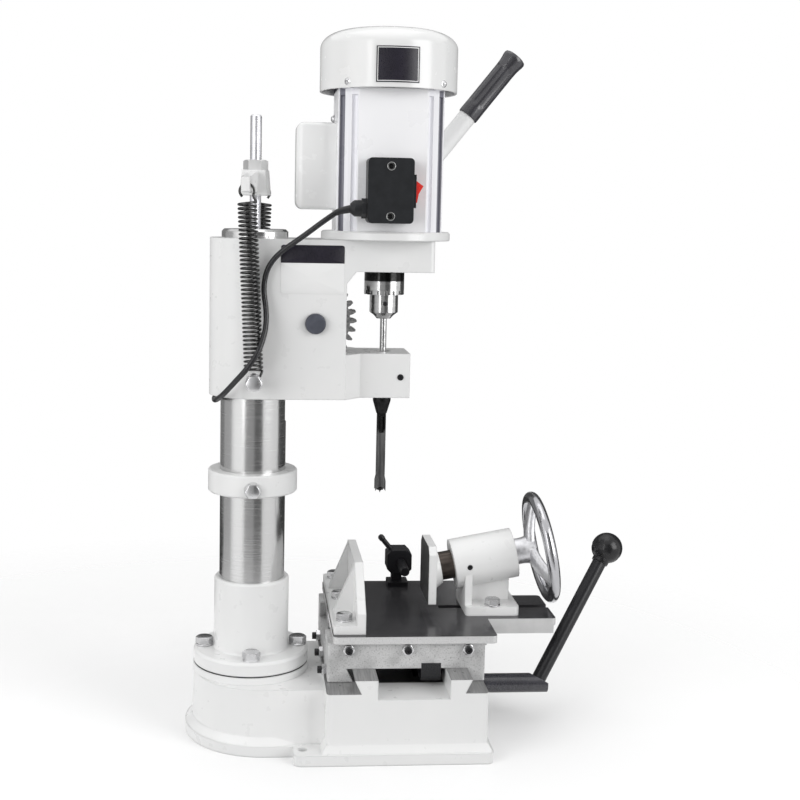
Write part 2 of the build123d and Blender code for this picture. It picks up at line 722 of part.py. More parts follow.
def wheel_rim():
    """Rim turned from an eight-sided section."""
    turns = [math.pi / 8 + math.pi / 4 * k for k in range(8)]
    return turned([(WHEEL_R + WHEEL_RIM_R * math.cos(a), WHEEL_S + WHEEL_RIM_R * math.sin(a)) for a in turns])


def handwheel():
    """Dished wheel: hub at the vise body, three tapered spokes out to a round rim."""
    wheel = rod_z(0, 0, 81, 101, HUB_R) + wheel_rim()
    spoke = [(8, 87), (8, 100), (24, 101), (60, 120), (63, 119), (63, 114), (28, 92)]
    face = make_face(Polyline(*[(-12, r, s) for r, s in spoke], close=True))
    arm = extrude(face, 24, dir=(1, 0, 0))
    arm &= prism_z([(-10, 7), (10, 7), (7, 64), (-7, 64)], 80, 125)
    for k in range(3):
        wheel += Rot(0, 0, 120 * k) * arm
    return VISE * (wheel - rod_z(0, 0, 80, 110, 8 + SEAT))


def vise_ram():
    return VISE * (rod_z(0, 0, -22, 62, RAM_R) - rod_z(0, 0, -12, 63, SCREW_R + SLIDE))


def movable_jaw():
    x0, x1 = CLAMP_X
    y = TABLE_Y0
    cut = 9
    outline = [(y - CLAMP_HALF, CLAMP_Z[0]), (y + CLAMP_HALF, CLAMP_Z[0]), (y + CLAMP_HALF, CLAMP_Z[1] - cut),
               (y + CLAMP_HALF - cut, CLAMP_Z[1]), (y - CLAMP_HALF + cut, CLAMP_Z[1]),
               (y - CLAMP_HALF, CLAMP_Z[1] - cut)]
    boss = VISE * Pos(0, 0, -23.5) * Cone(28, 21.5, 13)
    boss -= slab(x0 - 40, x0 + 2, -60, 160, 100, 260)
    jaw = prism_x(outline, x0, x1) + boss
    return jaw - VISE * rod_z(0, 0, -22, 0, RAM_R + SEAT)


# Work stop
def stop_post():
    foot = fillet(vertical(slab(184, 212, 121, 149, TABLE_Z[1], TABLE_Z[1] + 6)), 3)
    return foot + slab(190.5, 204, 133, 147, TABLE_Z[1] + 5, STOP_Z[0])


def clamp_axis():
    return Vector(-0.635, 0, 0.772).normalized()


def stop_block():
    block = chamfer(slab(*STOP_X, *STOP_Y, *STOP_Z).edges().filter_by(Axis.Y), 6)
    block -= rod_y(STOP_ROD_X, STOP_ROD_Z, STOP_Y[0] - 1, STOP_Y[1] + 1, STOP_ROD_R + SLIDE)
    middle = (STOP_ROD_X, (STOP_Y[0] + STOP_Y[1]) / 2, STOP_ROD_Z)
    return block - along(middle, clamp_axis(), rod_z(0, 0, 0, 40, 3.5 + SLIDE))


def stop_rod():
    bar = rod_y(STOP_ROD_X, STOP_ROD_Z, *STOP_ROD_Y, STOP_ROD_R)
    return chamfer(bar.edges().filter_by(GeomType.CIRCLE), 1.2)


def clamp_handle():
    middle = (STOP_ROD_X, (STOP_Y[0] + STOP_Y[1]) / 2, STOP_ROD_Z)
    low = STOP_ROD_R + 0.5
    bar = turned([(0, low), (3.5, low), (3.5, 36), (4.2, 38), (4.2, 42), (2.5, 44.2), (0, 44.2)])
    return along(middle, clamp_axis(), bar)


# Head
def head_casting():
    """Column clamp, gear case, motor shelf and chisel nose in one casting."""
    z0, z1 = HEAD_Z
    case = rod_z(0, 0, z0, z1, HEAD_R) + slab(0, HEAD_X, -HEAD_R, HEAD_R, z0, z1)
    shelf = fillet(vertical(slab(HEAD_X - 10, ARM_X, -HEAD_R, HEAD_R, ARM_Z, z1)), 6)
    near = [(HEAD_X - 1, -HEAD_R), (HEAD_X, -HEAD_R), (HEAD_X + 19, -NOSE_HALF), (NOSE_X, -NOSE_HALF)]
    nose = prism_z(near + [(x, -y) for x, y in near[::-1]], z0, NOSE_Z)
    web = prism_y([(HEAD_X - 1, ARM_Z + 1), (HEAD_X + 11, ARM_Z + 1), (HEAD_X + 11, ARM_Z),
                   (HEAD_X, ARM_Z - 14), (HEAD_X - 1, ARM_Z - 14)], -HEAD_R, HEAD_R)
    inner = HEAD_R - HEAD_WALL
    body = case + shelf + nose + web
    body -= slab(COLUMN_R + 7, HEAD_X - HEAD_WALL, -inner, inner, z0 - 1, z1 - 13)
    body -= slab(HEAD_X + 14, ARM_X - 10, -inner, inner, ARM_Z - 1, z1 - 12)
    bearing = rod_y(FEED_X, FEED_Z, -inner - 1, FAR_BOSS_Y, 24)
    bearing -= slab(0, 200, -13, 13, 400, 620)
    body += bearing
    body -= rod_y(FEED_X, FEED_Z, -13, 13, FEED_M * (FEED_TEETH + 2) / 2 + 2.5)
    body -= rod_y(FEED_X, FEED_Z, -HEAD_R - 1, FAR_BOSS_Y + 1, 12 + SLIDE)
    body -= rod_z(0, 0, z0 - 1, z1 + 1, COLUMN_R + SLIDE)
    body -= rod_z(AXIS_X, 0, z0 - 1, NOSE_Z + 1, 9.5 + SEAT)
    body -= rod_z(AXIS_X, 0, ARM_Z - 1, z1 + 1, CHUCK_R + 5)
    for side in (-1, 1):
        body -= rod_y(0, ANCHOR_Z, *sorted((side * (HEAD_R + 1), side * 44)), 5 + SEAT)
    return body


def spring_anchors():
    """Shouldered bolts that hold the lower spring hooks, each with a washer under its head."""
    pieces = []
    for side in (-1, 1):
        face = (0, side * HEAD_R, ANCHOR_Z)
        pieces.append(along(face, (0, side, 0), washer(9, 5 + SEAT, 4)))
        pieces.append(along((0, side * (HEAD_R + 22), ANCHOR_Z), (0, side, 0), washer(10, 5 + SEAT, 2)))
        pieces.append(along((0, side * (HEAD_R + 24), ANCHOR_Z), (0, side, 0), hex_bolt(17, 7, 5, 33)))
    return Compound(pieces)


def feed_shaft():
    bar = rod_y(FEED_X, FEED_Z, -HEAD_R - 5, FEED_LEVER_Y + 17, 12)
    return chamfer(bar.edges().filter_by(GeomType.CIRCLE), 1)


def feed_gear():
    gear = Pos(FEED_X, 0, FEED_Z) * prism_y(pinion_outline(FEED_M, FEED_TEETH, 180), -9, 9)
    return gear - rod_y(FEED_X, FEED_Z, -20, 20, 12 + SEAT)


def feed_direction():
    a = math.radians(FEED_LEVER_ANGLE)
    return Vector(math.cos(a), 0, math.sin(a))


def feed_lever():
    """Hub on the feed shaft with a long bar."""
    hub = rod_y(FEED_X, FEED_Z, FAR_BOSS_Y + 4, FEED_LEVER_Y + 16, 21)
    bar = along((FEED_X, FEED_LEVER_Y, FEED_Z), feed_direction(), rod_z(0, 0, 12, GRIP_TO - 8, FEED_LEVER_R))
    return hub + bar - rod_y(FEED_X, FEED_Z, 80, 150, 12 + SEAT)


def lever_grip():
    """Sleeve with lengthwise flutes between plain ends, flared at its closed tip."""
    bore = FEED_LEVER_R + SEAT
    mouth = GRIP_R - 1.2
    sleeve = turned([(bore, GRIP_FROM), (mouth, GRIP_FROM), (GRIP_R, GRIP_FROM + 16), (GRIP_R, GRIP_TO - 14),
                     (GRIP_R + 0.9, GRIP_TO - 5), (GRIP_R - 0.5, GRIP_TO - 1.5), (GRIP_R - 5, GRIP_TO),
                     (0, GRIP_TO), (0, GRIP_TO - 8), (bore, GRIP_TO - 8)])
    flute = slab(GRIP_R - 1.1, GRIP_R + 2, -2.6, 2.6, GRIP_FROM + 18, GRIP_TO - 20)
    for k in range(8):
        sleeve -= Rot(0, 0, 45 * k) * flute
    return along((FEED_X, FEED_LEVER_Y, FEED_Z), feed_direction(), sleeve)


def chisel():
    """Hollow square chisel with a round shank, a chip window and a fluted end."""
    stem = turned([(0, 398), (6.4, 398), (11, 414), (11, 421.4), (9.5, 421.4), (9.5, 462), (0, 462)])
    neck = extrude(Rectangle(10.4, 10.4), 86)
    blade = Pos(0, 0, CHISEL_TIP + 18) * neck
    blade += Pos(0, 0, CHISEL_TIP) * extrude(Rectangle(CHISEL_W, CHISEL_W), 13)
    blade += Pos(0, 0, CHISEL_TIP + 13) * extrude(Rectangle(CHISEL_W, CHISEL_W), 6, taper=11.3)
    body = stem + blade
    body -= rod_z(0, 0, CHISEL_TIP - 5, 470, 4.7)
    hollow = CHISEL_W / math.sqrt(2)
    body -= turned([(0, CHISEL_TIP - 5), (hollow + 3, CHISEL_TIP - 5), (hollow, CHISEL_TIP),
                    (3, CHISEL_TIP + 13), (0, CHISEL_TIP + 13)])
    body -= slab(-2.7, 2.7, -12, 0, 374, 394)
    return Pos(AXIS_X, 0, 0) * body


def auger_bit():
    profile = [(0, CHISEL_TIP - 3), (1.2, CHISEL_TIP), (BIT_R + 0.2, CHISEL_TIP + 1),
               (BIT_R + 0.2, CHISEL_TIP + 20), (BIT_R - 0.6, CHISEL_TIP + 24),
               (BIT_R - 0.6, 440), (BIT_R, 446), (BIT_R, 544), (0, 544)]
    return turned(profile, AXIS_X)


def chuck():
    """Keyed drill chuck with a toothed sleeve."""
    nose, ring, top = CHUCK_Z
    body = turned([(BIT_R + SEAT, nose), (8.5, nose), (12, nose + 4), (17.3, nose + 8), (17.3, ring),
                   (CHUCK_R, ring), (CHUCK_R, top - 1.5), (CHUCK_R - 1.5, top), (14, top), (14, top + 11),
                   (8.5 + SEAT, top + 11), (8.5 + SEAT, top - 8), (BIT_R + SEAT, top - 8)])
    tooth = slab(CHUCK_R - 4, CHUCK_R + 2, -1.6, 1.6, ring - 1, ring + 5)
    for k in range(16):
        body -= Rot(0, 0, 22.5 * k) * tooth
    body -= rod_y(0, 534, -20, -11, 3)
    return Pos(AXIS_X, 0, 0) * body


# Motor
def motor_end_plate():
    z0 = HEAD_Z[1]
    return turned([(16 + SEAT, z0), (PLATE_R - 1, z0), (PLATE_R, z0 + 1), (PLATE_R, PLATE_TOP - 2),
                   (PLATE_R - 2, PLATE_TOP), (16 + SEAT, PLATE_TOP)], AXIS_X)


def motor_frame():
    """Extruded shell with four flats, fluted corners and lugs for the cover."""
    h = FRAME_HALF
    f = FRAME_FLAT
    outline = [(h, -f), (h, f), (f, h), (-f, h), (-h, f), (-h, -f), (-f, -h), (f, -h)]
    body = prism_z(outline, PLATE_TOP, FRAME_TOP)
    corner = (h + f) / 2
    for k in range(4):
        for shift, r in ((9.5, 4.2), (-9.5, 4.2)):
            spot = Rot(0, 0, 90 * k) * Pos(corner + shift * 0.707, corner - shift * 0.707, 0)
            body -= spot * rod_z(0, 0, PLATE_TOP - 1, FRAME_TOP - 8, r)
        lug = Rot(0, 0, 45 + 90 * k) * slab(60, COVER_R - COVER_T - 0.5, -7, 7, FRAME_TOP - 1, FRAME_TOP + 13)
        body += lug
    body -= rod_z(0, 0, PLATE_TOP - 1, FRAME_TOP - 10, 56)
    body -= rod_z(0, 0, FRAME_TOP - 11, FRAME_TOP + 1, 16 + SEAT)
    return Pos(AXIS_X, 0, 0) * body


def motor_cover():
    """Open-skirted cap with a broad elliptic shoulder."""
    z0, z1 = COVER_Z

    def shell(thick):
        r = COVER_R - thick
        top = z1 - thick
        wide = COVER_SHOULDER[0] - thick
        high = COVER_SHOULDER[1] - thick
        turns = [math.pi / 2 * k / 6 for k in range(7)]
        bend = [(r - wide + wide * math.cos(a), top - high + high * math.sin(a)) for a in turns]
        return [(r, z0)] + bend + [(0, top)]

    outer = shell(0)
    inner = shell(COVER_T)
    return turned(outer + inner[::-1], AXIS_X)


def motor_bearings():
    race = ring(16, 8.5 + SLIDE, 10)
    return Compound([Pos(AXIS_X, 0, PLATE_TOP - 10.2) * race, Pos(AXIS_X, 0, FRAME_TOP - 10) * race])


def stator():
    return Pos(AXIS_X, 0, 650) * washer(56 - SEAT, 35.2, 90, 24)


def rotor_shaft():
    low = CHUCK_Z[2] - 8
    return turned([(0, low), (8.5, low), (8.5, 829), (7.5, 830), (0, 830)], AXIS_X)


def rotor_core():
    core = Pos(0, 0, 655) * extrude(RegularPolygon(34.5, 24), 80)
    return Pos(AXIS_X, 0, 0) * (core - rod_z(0, 0, 650, 740, 8.5 + SEAT))


def cooling_fan():
    fan = rod_z(0, 0, 803, 826, 14) + rod_z(0, 0, 805, 808, 62)
    blade = slab(12, 60, -1, 1, 807, 825)
    for k in range(8):
        fan += Rot(0, 0, 45 * k) * blade
    return Pos(AXIS_X, 0, 0) * (fan - rod_z(0, 0, 800, 830, 8.5 + SEAT))


def capacitor_box():
    can = slab(*CAP_X, -22, 22, *CAP_Z)
    can = fillet(can.edges().filter_by(Axis.Y).group_by(Axis.X)[0], 8)
    return chamfer(vertical(can).group_by(Axis.X)[0], 5)


def switch_box():
    """Moulded box with a recessed rocker on its operator side and two deep screw holes."""
    box = fillet(slab(*SWITCH_X, *SWITCH_Y, *SWITCH_Z).edges().filter_by(Axis.Y), 5)
    px, py, pz = ROCKER_PIVOT
    box += slab(SWITCH_X[1] - 1, SWITCH_X[1] + 3, py - 8.5, py + 8.5, pz - 19, pz + 19)
    box -= slab(px - 10.5, px + 20, py - 6.5, py + 6.5, pz - 16.6, pz + 16.6)
    box -= rod_y(px, pz, py - 9, py + 9, ROCKER_PIN_R + SLIDE)
    for z in (SWITCH_Z[0] + 8, SWITCH_Z[1] - 9.5):
        box -= rod_y((SWITCH_X[0] + SWITCH_X[1]) / 2, z, SWITCH_Y[0] - 1, SWITCH_Y[0] + 6, 4)
    return box


def rocker():
    """Rocker moulded with its two pivot pins."""
    px, py, pz = ROCKER_PIVOT
    a = math.radians(ROCKER_TILT)
    shape = [(-4, -14), (10, -10.1), (8.2, 0), (10, 10.1), (-4, 14)]
    c = math.cos(a)
    s = math.sin(a)
    tilted = [(px + x * c + z * s, pz - x * s + z * c) for x, z in shape]
    return prism_y(tilted, py - 6, py + 6) + rod_y(px, pz, py - 8.5, py + 8.5, ROCKER_PIN_R)


def cable_gland():
    y, z = GLAND
    x1 = SWITCH_X[0]
    body = along((x1, y, z), (-1, 0, 0), hexagon(20, 6)) + rod_x(y, z, GLAND_X + 5, x1 - 5, 9.5)
    body += Pos(GLAND_X + 2.5, y, z) * Rot(0, -90, 0) * Cone(9.5, 5.6, 5)
    return body - rod_x(y, z, GLAND_X - 1, x1 - 2, CORD_R + 0.25)


# Power cord: down the head's near face, under the head, down behind the column and into a coil
CORD_SPLIT = (-2.0, 70.0, 310.0)
COIL_START = Vector(78.0, 148.0, CORD_LIE)
COIL_AIM = 30.0


def power_cord_lead():
    y, z = GLAND
    route = [(SWITCH_X[0] - 3, y, z), (100, y, z), (80, -77, 634), (52.4, -70, 612.4), (28.6, -63.5, 595.7),
             (14, -60.5, 577.5), (9.5, -61, 553), (13.5, -65, 530), (13.4, -73, 507), (5.5, -84, 482),
             (-8.2, -86.5, 461.7), (-24, -76, 443), (-37, -64, 427), (-46, -40, 417.8), (-47.5, -12, 416.8),
             (-46, 16, 416), (-42, 43, 414.5), (-31, 60, 408.5), (-18, 68, 394), (-8, 69, 370), (-3, 69, 335),
             CORD_SPLIT]
    return tube(rounded_route("cord lead", route), RegularPolygon(CORD_R, 6))


def power_cord_drop():
    route = [CORD_SPLIT, (-1, 71, 285), (0.5, 72, 235), (0.8, 76, 185),
             (2.5, 83, 138), (3.5, 94, 95), (8.5, 102, 54), (14, 109.5, 26), (29, 119.5, 9.5),
             (52, 133, CORD_LIE), tuple(COIL_START)]
    return tube(rounded_route("cord drop", route), RegularPolygon(CORD_R, 6))


def coil_frame():
    """Directions along the cord's run into the coil and across it."""
    a = math.radians(COIL_AIM)
    return Vector(math.cos(a), math.sin(a), 0), Vector(-math.sin(a), math.cos(a), 0)


def coil_path():
    """Half turns that wind in on the bench, climb one layer and wind out again."""
    aim, across = coil_frame()
    radii = [COIL_R - COIL_STEP / 2 * k for k in range(5)]
    radii += radii[-2:0:-1]
    edges = []
    at = COIL_START
    for k, r in enumerate(radii):
        side = 1 if k % 2 == 0 else -1
        climb = COIL_STEP if k == 4 else 0
        to = at + across * (2 * r * side) + Vector(0, 0, climb)
        edges += biarc(at, aim * side, to, aim * -side)
        at = to
    edges.append(Line(at, at + aim * 45))
    return Wire(edges)


def power_cord_coil():
    path = coil_path()
    self_gap("cord coil", path, CORD_R, 40)
    return tube(path, RegularPolygon(CORD_R, 4))


def cord_tie():
    """Strap round the loops on the side away from the machine."""
    aim, across = coil_frame()
    middle = COIL_START + across * (2 * COIL_R - COIL_STEP) + Vector(0, 0, COIL_STEP / 2)
    inner_w = 2 * COIL_STEP + 2 * CORD_R + 1.2
    inner_h = COIL_STEP + 2 * CORD_R + 0.6
    band = Box(8, inner_w + 2, inner_h + 2) - Box(10, inner_w, inner_h)
    return Plane(origin=middle, x_dir=aim, z_dir=(0, 0, 1)).location * band


def power_plug():
    aim, across = coil_frame()
    entry = COIL_START + Vector(0, 0, COIL_STEP) + aim * 45
    body = fillet(slab(12, 50, -14, 14, -11, 11).edges().filter_by(Axis.X), 5)
    body += Pos(6.3, 0, 0) * Rot(0, 90, 0) * Cone(5.5, 9, 12.5)
    for y in (-6.3, 6.3):
        body += slab(48, 67, y - 0.8, y + 0.8, -3.2, 3.2)
    body += slab(48, 69, -2.4, 2.4, 4.5, 9.0)
    return Plane(origin=entry, x_dir=aim, z_dir=(0, 0, 1)).location * body


PIECES = {
    "base_casting": base_casting, "flange_gasket": flange_gasket, "column_socket": column_socket,
    "flange_bolts": flange_bolts, "column": column, "column_rack": column_rack, "spring_rod": spring_rod,
    "spring_hanger": spring_hanger, "hanger_nut": hanger_nut,
    "near_spring": near_spring, "far_spring": far_spring,
    "power_cord_drop": power_cord_drop, "power_cord_coil": power_cord_coil, "cord_tie": cord_tie,
    "power_plug": power_plug,
    "stop_collar": stop_collar, "collar_bolt": collar_bolt,
    "saddle": saddle, "saddle_gib": saddle_gib, "table_gib": table_gib, "gib_screws": gib_screws,
    "saddle_rack": saddle_rack,
    "lever_shaft": lever_shaft, "lever_pinion": lever_pinion, "lever_arm": lever_arm, "ball_knob": ball_knob,
    "table": table, "fixed_jaw": fixed_jaw, "table_bolts": table_bolts, "vise_body": vise_body,
    "stop_post": stop_post, "stop_block": stop_block, "stop_rod": stop_rod, "clamp_handle": clamp_handle,
    "vise_screw": vise_screw, "handwheel": handwheel, "vise_ram": vise_ram, "movable_jaw": movable_jaw,
    "head_casting": head_casting, "spring_anchors": spring_anchors, "chisel": chisel,
    "motor_end_plate": motor_end_plate, "motor_frame": motor_frame, "motor_cover": motor_cover,
    "motor_bearings": motor_bearings, "stator": stator, "capacitor_box": capacitor_box,
    "switch_box": switch_box, "cable_gland": cable_gland, "power_cord_lead": power_cord_lead,
    "feed_shaft": feed_shaft, "feed_gear": feed_gear, "feed_lever": feed_lever, "lever_grip": lever_grip,
    "rotor_shaft": rotor_shaft, "rotor_core": rotor_core, "cooling_fan": cooling_fan, "chuck": chuck,
    "auger_bit": auger_bit, "rocker": rocker,
}

for name, make in PIECES.items():
    export_step(make(), f"parts/{name}.step")
print(len(PIECES), "pieces")
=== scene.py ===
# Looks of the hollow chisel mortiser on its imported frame: camera, studio, finishes and added pieces.
# Blender works in metres. Sizes here are in millimetres, scaled by MM, unless a comment says otherwise.
# X points to the operator, Y away from the camera, Z up.
import math

import bmesh
import bpy
from mathutils import Matrix, Vector


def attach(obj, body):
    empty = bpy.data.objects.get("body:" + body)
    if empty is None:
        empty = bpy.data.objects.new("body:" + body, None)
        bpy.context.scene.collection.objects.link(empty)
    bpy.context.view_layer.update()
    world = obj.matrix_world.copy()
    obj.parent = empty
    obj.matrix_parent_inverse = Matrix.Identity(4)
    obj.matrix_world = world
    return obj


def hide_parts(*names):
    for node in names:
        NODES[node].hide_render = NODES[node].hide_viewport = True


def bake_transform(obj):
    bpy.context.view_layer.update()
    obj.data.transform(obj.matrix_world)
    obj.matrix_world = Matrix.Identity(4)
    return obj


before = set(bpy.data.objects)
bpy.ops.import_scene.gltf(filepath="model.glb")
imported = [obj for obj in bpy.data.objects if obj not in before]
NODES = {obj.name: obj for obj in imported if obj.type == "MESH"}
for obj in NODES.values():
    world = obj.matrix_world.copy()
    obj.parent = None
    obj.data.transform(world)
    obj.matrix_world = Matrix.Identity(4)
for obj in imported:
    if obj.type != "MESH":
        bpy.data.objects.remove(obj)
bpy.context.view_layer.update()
MM = 0.001

# Camera of the photograph
PHOTO_PX = 800.0
FOCAL_PX = 1281.35
CENTRE_PX = (350.0, 360.0)
SENSOR = 36.0
EYE = (-9.20, -1553.47, 643.56)
YAW = 4.66
PITCH = 6.60
ROLL = 1.06

# Lamps: place, aim and size in metres, power in watts
LAMPS = {
    "key": ((-1.6, -1.4, 0.95), (0.05, 0, 0.45), (1.6, 1.8), 30),
    "fill": ((1.7, -1.3, 1.1), (0.1, 0, 0.55), (1.2, 1.6), 24),
    "top": ((0.1, 0.1, 2.4), (0.1, 0, 0.4), (1.6, 1.6), 8.5),
}

# Upright cards for reflections: bearings of their edges in degrees, and brightness
CARDS = {
    "card_front_dark": (3, 32, 0.14),
    "card_front_grey": (-30, 3, 0.40),
    "card_bright": (-70, -38, 1.2),
    "card_left_grey": (-120, -80, 0.50),
    "card_left": (-165, -120, 0.26),
    "card_right": (100, 165, 0.10),
    "card_back": (165, 195, 0.10),
}

# Places of the cards, and radius and fading of the floor, in metres
CARD_X = 0.05
CARD_AWAY = 1.9
CARD_Z = (-0.95, 1.95)
LOW_CARD_AT = (0.25, 0.95, 0.004)
LOW_CARD_SIZE = (2.2, 1.0)
LOW_CARD_LEVEL = 0.05
FLOOR_R = 4.0
FLOOR_FADE = (0.30, 0.95)

# Grey of the floor for bounced light and as it is seen
FLOOR_GREY = (0.50, 0.93)

# Diffuse light between two directions along Y, from the camera's side to the far side
WORLD_Y = (-0.55, 0.35)
WORLD_LIGHT = (0.34, 0.9)

# Scale of a finish's grain along X, Y and Z; a small one draws it out into lines
EVEN = (1, 1, 1)
RINGS = (0.05, 0.05, 1)
LINES_Y = (1, 0.05, 1)
LINES_Z = (1, 1, 0.06)

# Places where a finish changes
WAY_X = 87.0
WAY_Z = 82.5
# Channel between the ways, which painted shade darkens
CHANNEL_X = (148.0, 234.5)
CHANNEL_HALF = 63.0
CHANNEL_Z = (74.0, 99.0)
CHUCK_SLEEVE_Z = 561.0
BIT_SHANK_Z = 440.0
CHISEL_SHANK_Z = 376.0
TABLE_WING_X = 297.0
T_SLOT_HALF = 9.5

# Return springs
SPRING_Y = 68.5
SPRING_R = 10.3
SPRING_WIRE = 2.9
SPRING_TURNS = 40
SPRING_STEPS = 16
HOOK_R = 8.5
HOOK_Z = 665.0
HOOK_NECK = 4.0
HOOK_SWEEP = 270.0
HOOK_STARTS = (130.0, -40.0)
HOOK_STEPS = 10
ANCHOR_Z = 444.0
HANGER_TURN = 8.6

# Power cord, with the route of the CAD tube
CORD_D = 6.5
CORD_LIE = 4.6
LEAD_ROUTE = [(124, -78, 647.6), (100, -78, 647.6), (80, -77, 634), (52.4, -70, 612.4),
              (28.6, -63.5, 595.7), (14, -60.5, 577.5), (9.5, -61, 553), (13.5, -65, 530), (13.4, -73, 507),
              (5.5, -84, 482), (-8.2, -86.5, 461.7), (-24, -76, 443), (-37, -64, 427), (-46, -40, 417.8),
              (-47.5, -12, 416.8), (-46, 16, 416), (-42, 43, 414.5), (-31, 60, 408.5), (-18, 68, 394),
              (-8, 69, 370), (-3, 69, 335)]
DROP_ROUTE = [(-2, 70, 310), (-1, 71, 285), (0.5, 72, 235), (0.8, 76, 185), (2.5, 83, 138), (3.5, 94, 95),
              (8.5, 102, 54), (14, 109.5, 26), (29, 119.5, 9.5), (52, 133, CORD_LIE)]
COIL_START = (78.0, 148.0, CORD_LIE)
COIL_AIM = 30.0
COIL_R = 47.0
COIL_STEP = 7.0
COIL_HALVES = 5
COIL_PARTS = 8
TAIL = 45.0
BOOT = (13.0, 38.0)
BOOT_R = (5.0, 3.5)

# Motor cover, its screws and the screw above the capacitor box; a screw is radius and height
AXIS_X = 157.5
COVER_R = 82.2
COVER_Z = (785.0, 856.98)
COVER_SHOULDER = (36.0, 21.0)
COVER_T = 2.0
COVER_LIP = 0.5
COVER_SCREW_SINK = 0.2
COVER_SCREW = (3.4, 3.2)
COVER_SCREW_Z = 792.0
COVER_SCREW_TURNS = (45, 135, 229, 315)
BOX_SCREW = (4.2, 4.5)
BOX_SCREW_AT = (95.2, 24.0, 755.0)

# Plate on the cover and the line round it: degrees about the motor's axis, and millimetres
COVER_PLATE_TURNS = (-16.0, 19.0)
COVER_PLATE_Z = (790.5, 831.0)
COVER_PLATE_OUT = (0.02, 0.7)
COVER_LINE_OUT = (0.6, 0.9)
COVER_LINE_INSET = (1.0, 1.3)
COVER_LINE_WIDE = (0.5, 0.8)

# Extruded motor frame
FRAME_HALF = 62.5
FLUTE_BAND = (7.2, 19.6)

# Capacitor box
CAP_X = (47.5, 95.0)
CAP_Z = (645.6, 748.0)
CAP_HALF = 22.0
CAP_ROUND = 9.0
CAP_CORNER = 5.0

# Bare two-tone plate on the head
HEAD_PLATE_X = (30.0, 104.5)
HEAD_PLATE_Z = (547.0, 583.0, 604.0)
HEAD_PLATE_Y = -54.02
HEAD_PLATE_T = 0.5
HEAD_PLATE_SEAM = 0.05
PLATE_ROUND = 3.0
PLATE_SHARP = 0.3

# Screws of the switch box, sunk below its face
SWITCH_X = 153.5
SWITCH_Z = (639.0, 696.0)
SWITCH_SEAT_Y = -84.05
# Place of the dark domes that paint the shade inside the screws' key sockets
SWITCH_SHADE_Y = -84.3
SWITCH_FACE_Y = -89.98

# Screw ends: radius, height, radius of the key socket and its depth
SWITCH_SCREW = (3.9, 2.4, 3.0, 2.2)
NOSE_SCREW = (3.8, 1.2, 2.2, 1.0)
NOSE_SCREW_AT = (176.0, -32.9, 446.6)
GRUB_SCREW = (3.4, 3.0, 1.8, 2.0)
GRUB_SCREW_S = 18.0
GRUB_SCREW_OUT = 27.5
# Place of the dark disc that paints the shade inside the socket for the chuck key
KEY_HOLE_AT = (AXIS_X, -16.2, 534.0)

# Gib screws: three in the saddle's near side and three in its column side
TABLE_GIB_X = (116, 187, 260)
TABLE_GIB_YZ = (-77.05, 124)
TABLE_GIB_OUT = 9.0
SADDLE_GIB_Y = (-57, 5, 68)
SADDLE_GIB_XZ = (90.95, 92)
SADDLE_GIB_OUT = 11.0

# Parts of a gib screw: nut as width across flats, height and bore, stud, and key socket as radius and depth
GIB_NUT = (12.6, 6.0, 4.55)
GIB_STUD_R = 4.5
GIB_SOCKET = (2.4, 2.5)

# Bolts: a washer is outer radius, inner radius and thickness, a head is width across flats and height
HEX_SPIN = 30.0
M12_WASHER = (10.4, 6.3, 3.0)
M12_HEAD = (19.0, 8.0)
M10_WASHER = (10.0, 5.3, 2.0)
M10_HEAD = (17.0, 7.0)
FLANGE_BOLT_R = 58.0
FLANGE_Z = 105.0
JAW_BOLTS = [(112.0, y, 152.0) for y in (-52.0, 38.0, 130.0)]
VISE_BOLTS = [(304.0, y, 152.5) for y in (2.0, 64.0)]

# Bolts that hold the springs: face of the head, washer and bolt head, out from the middle
ANCHOR_Y = (54.0, 76.0, 78.0)
ANCHOR_COLLAR = (9.0, 5.05, 4.0)
ANCHOR_WASHER = (10.0, 5.05, 2.0)
ANCHOR_PIN_R = 5.0

# Bolt of the stop collar and nut on the rod
COLLAR_HEAD = (16.0, 7.0)
COLLAR_BOLT_AT = (0.0, -53.3, 311.5)
HANGER_NUT = (26.0, 12.0)
HANGER_NUT_Z = 691.0
HANGER_NUT_SPIN = 25.0
HANGER_NUT_PLAY = 0.05

# Threaded rod on the column
ROD_R = 7.0
ROD_Z = (590.0, 756.0)
ROD_CHAMFER = (1.6, 1.5)
THREAD_PITCH = 2.0
THREAD_DEPTH = 0.45
THREAD_ROWS = 4

# Vise axis and handwheel: places along the axis are measured from its start
VISE_START = (256.6, 33.0, 197.6)
VISE_TILT = 10.8
WHEEL_R = 64.5
RIM_R = 7.5
WHEEL_S = 116.5
HUB_R = 19.0
HUB_BORE = 8.05
HUB_SIDE = [(16.2, 81.1), (16.7, 81.7), (16.5, 90), (17.2, 96), (HUB_R, 101), (HUB_R, 106), (17, 108)]

# Spokes: distance from the axis, place along it, half width and half thickness
SPOKE_PATH = [(11, 103.5, 14, 6.5), (18, 104, 13.4, 6.4), (26, 105.2, 12.4, 6.2), (36, 107.6, 11.2, 5.8),
              (48, 111.4, 10.4, 5.4), (56, 114.2, 10.8, 5.3), (62, 116.2, 11.8, 5.2)]
SPOKES = 3

# Exponent that squares a spoke's section, and how far the section leans in and along the axis
SPOKE_SQUARE = 0.6
SPOKE_LEAN = (0.45, 0.9)

# Side lever's ball; its seam is an angle, half a width in degrees and a depth
LEVER_KNEE = (364.0, 0.0, 51.0)
LEVER_DIR = (0.511, 0.290, 0.809)
LEVER_LENGTH = 198.0
BALL_R = 20.0
BALL_NECK = (10.8, -22.0)
BALL_BORE = (9.05, -6.0)
BALL_SEAM = (-12.0, 3.2, 0.35)

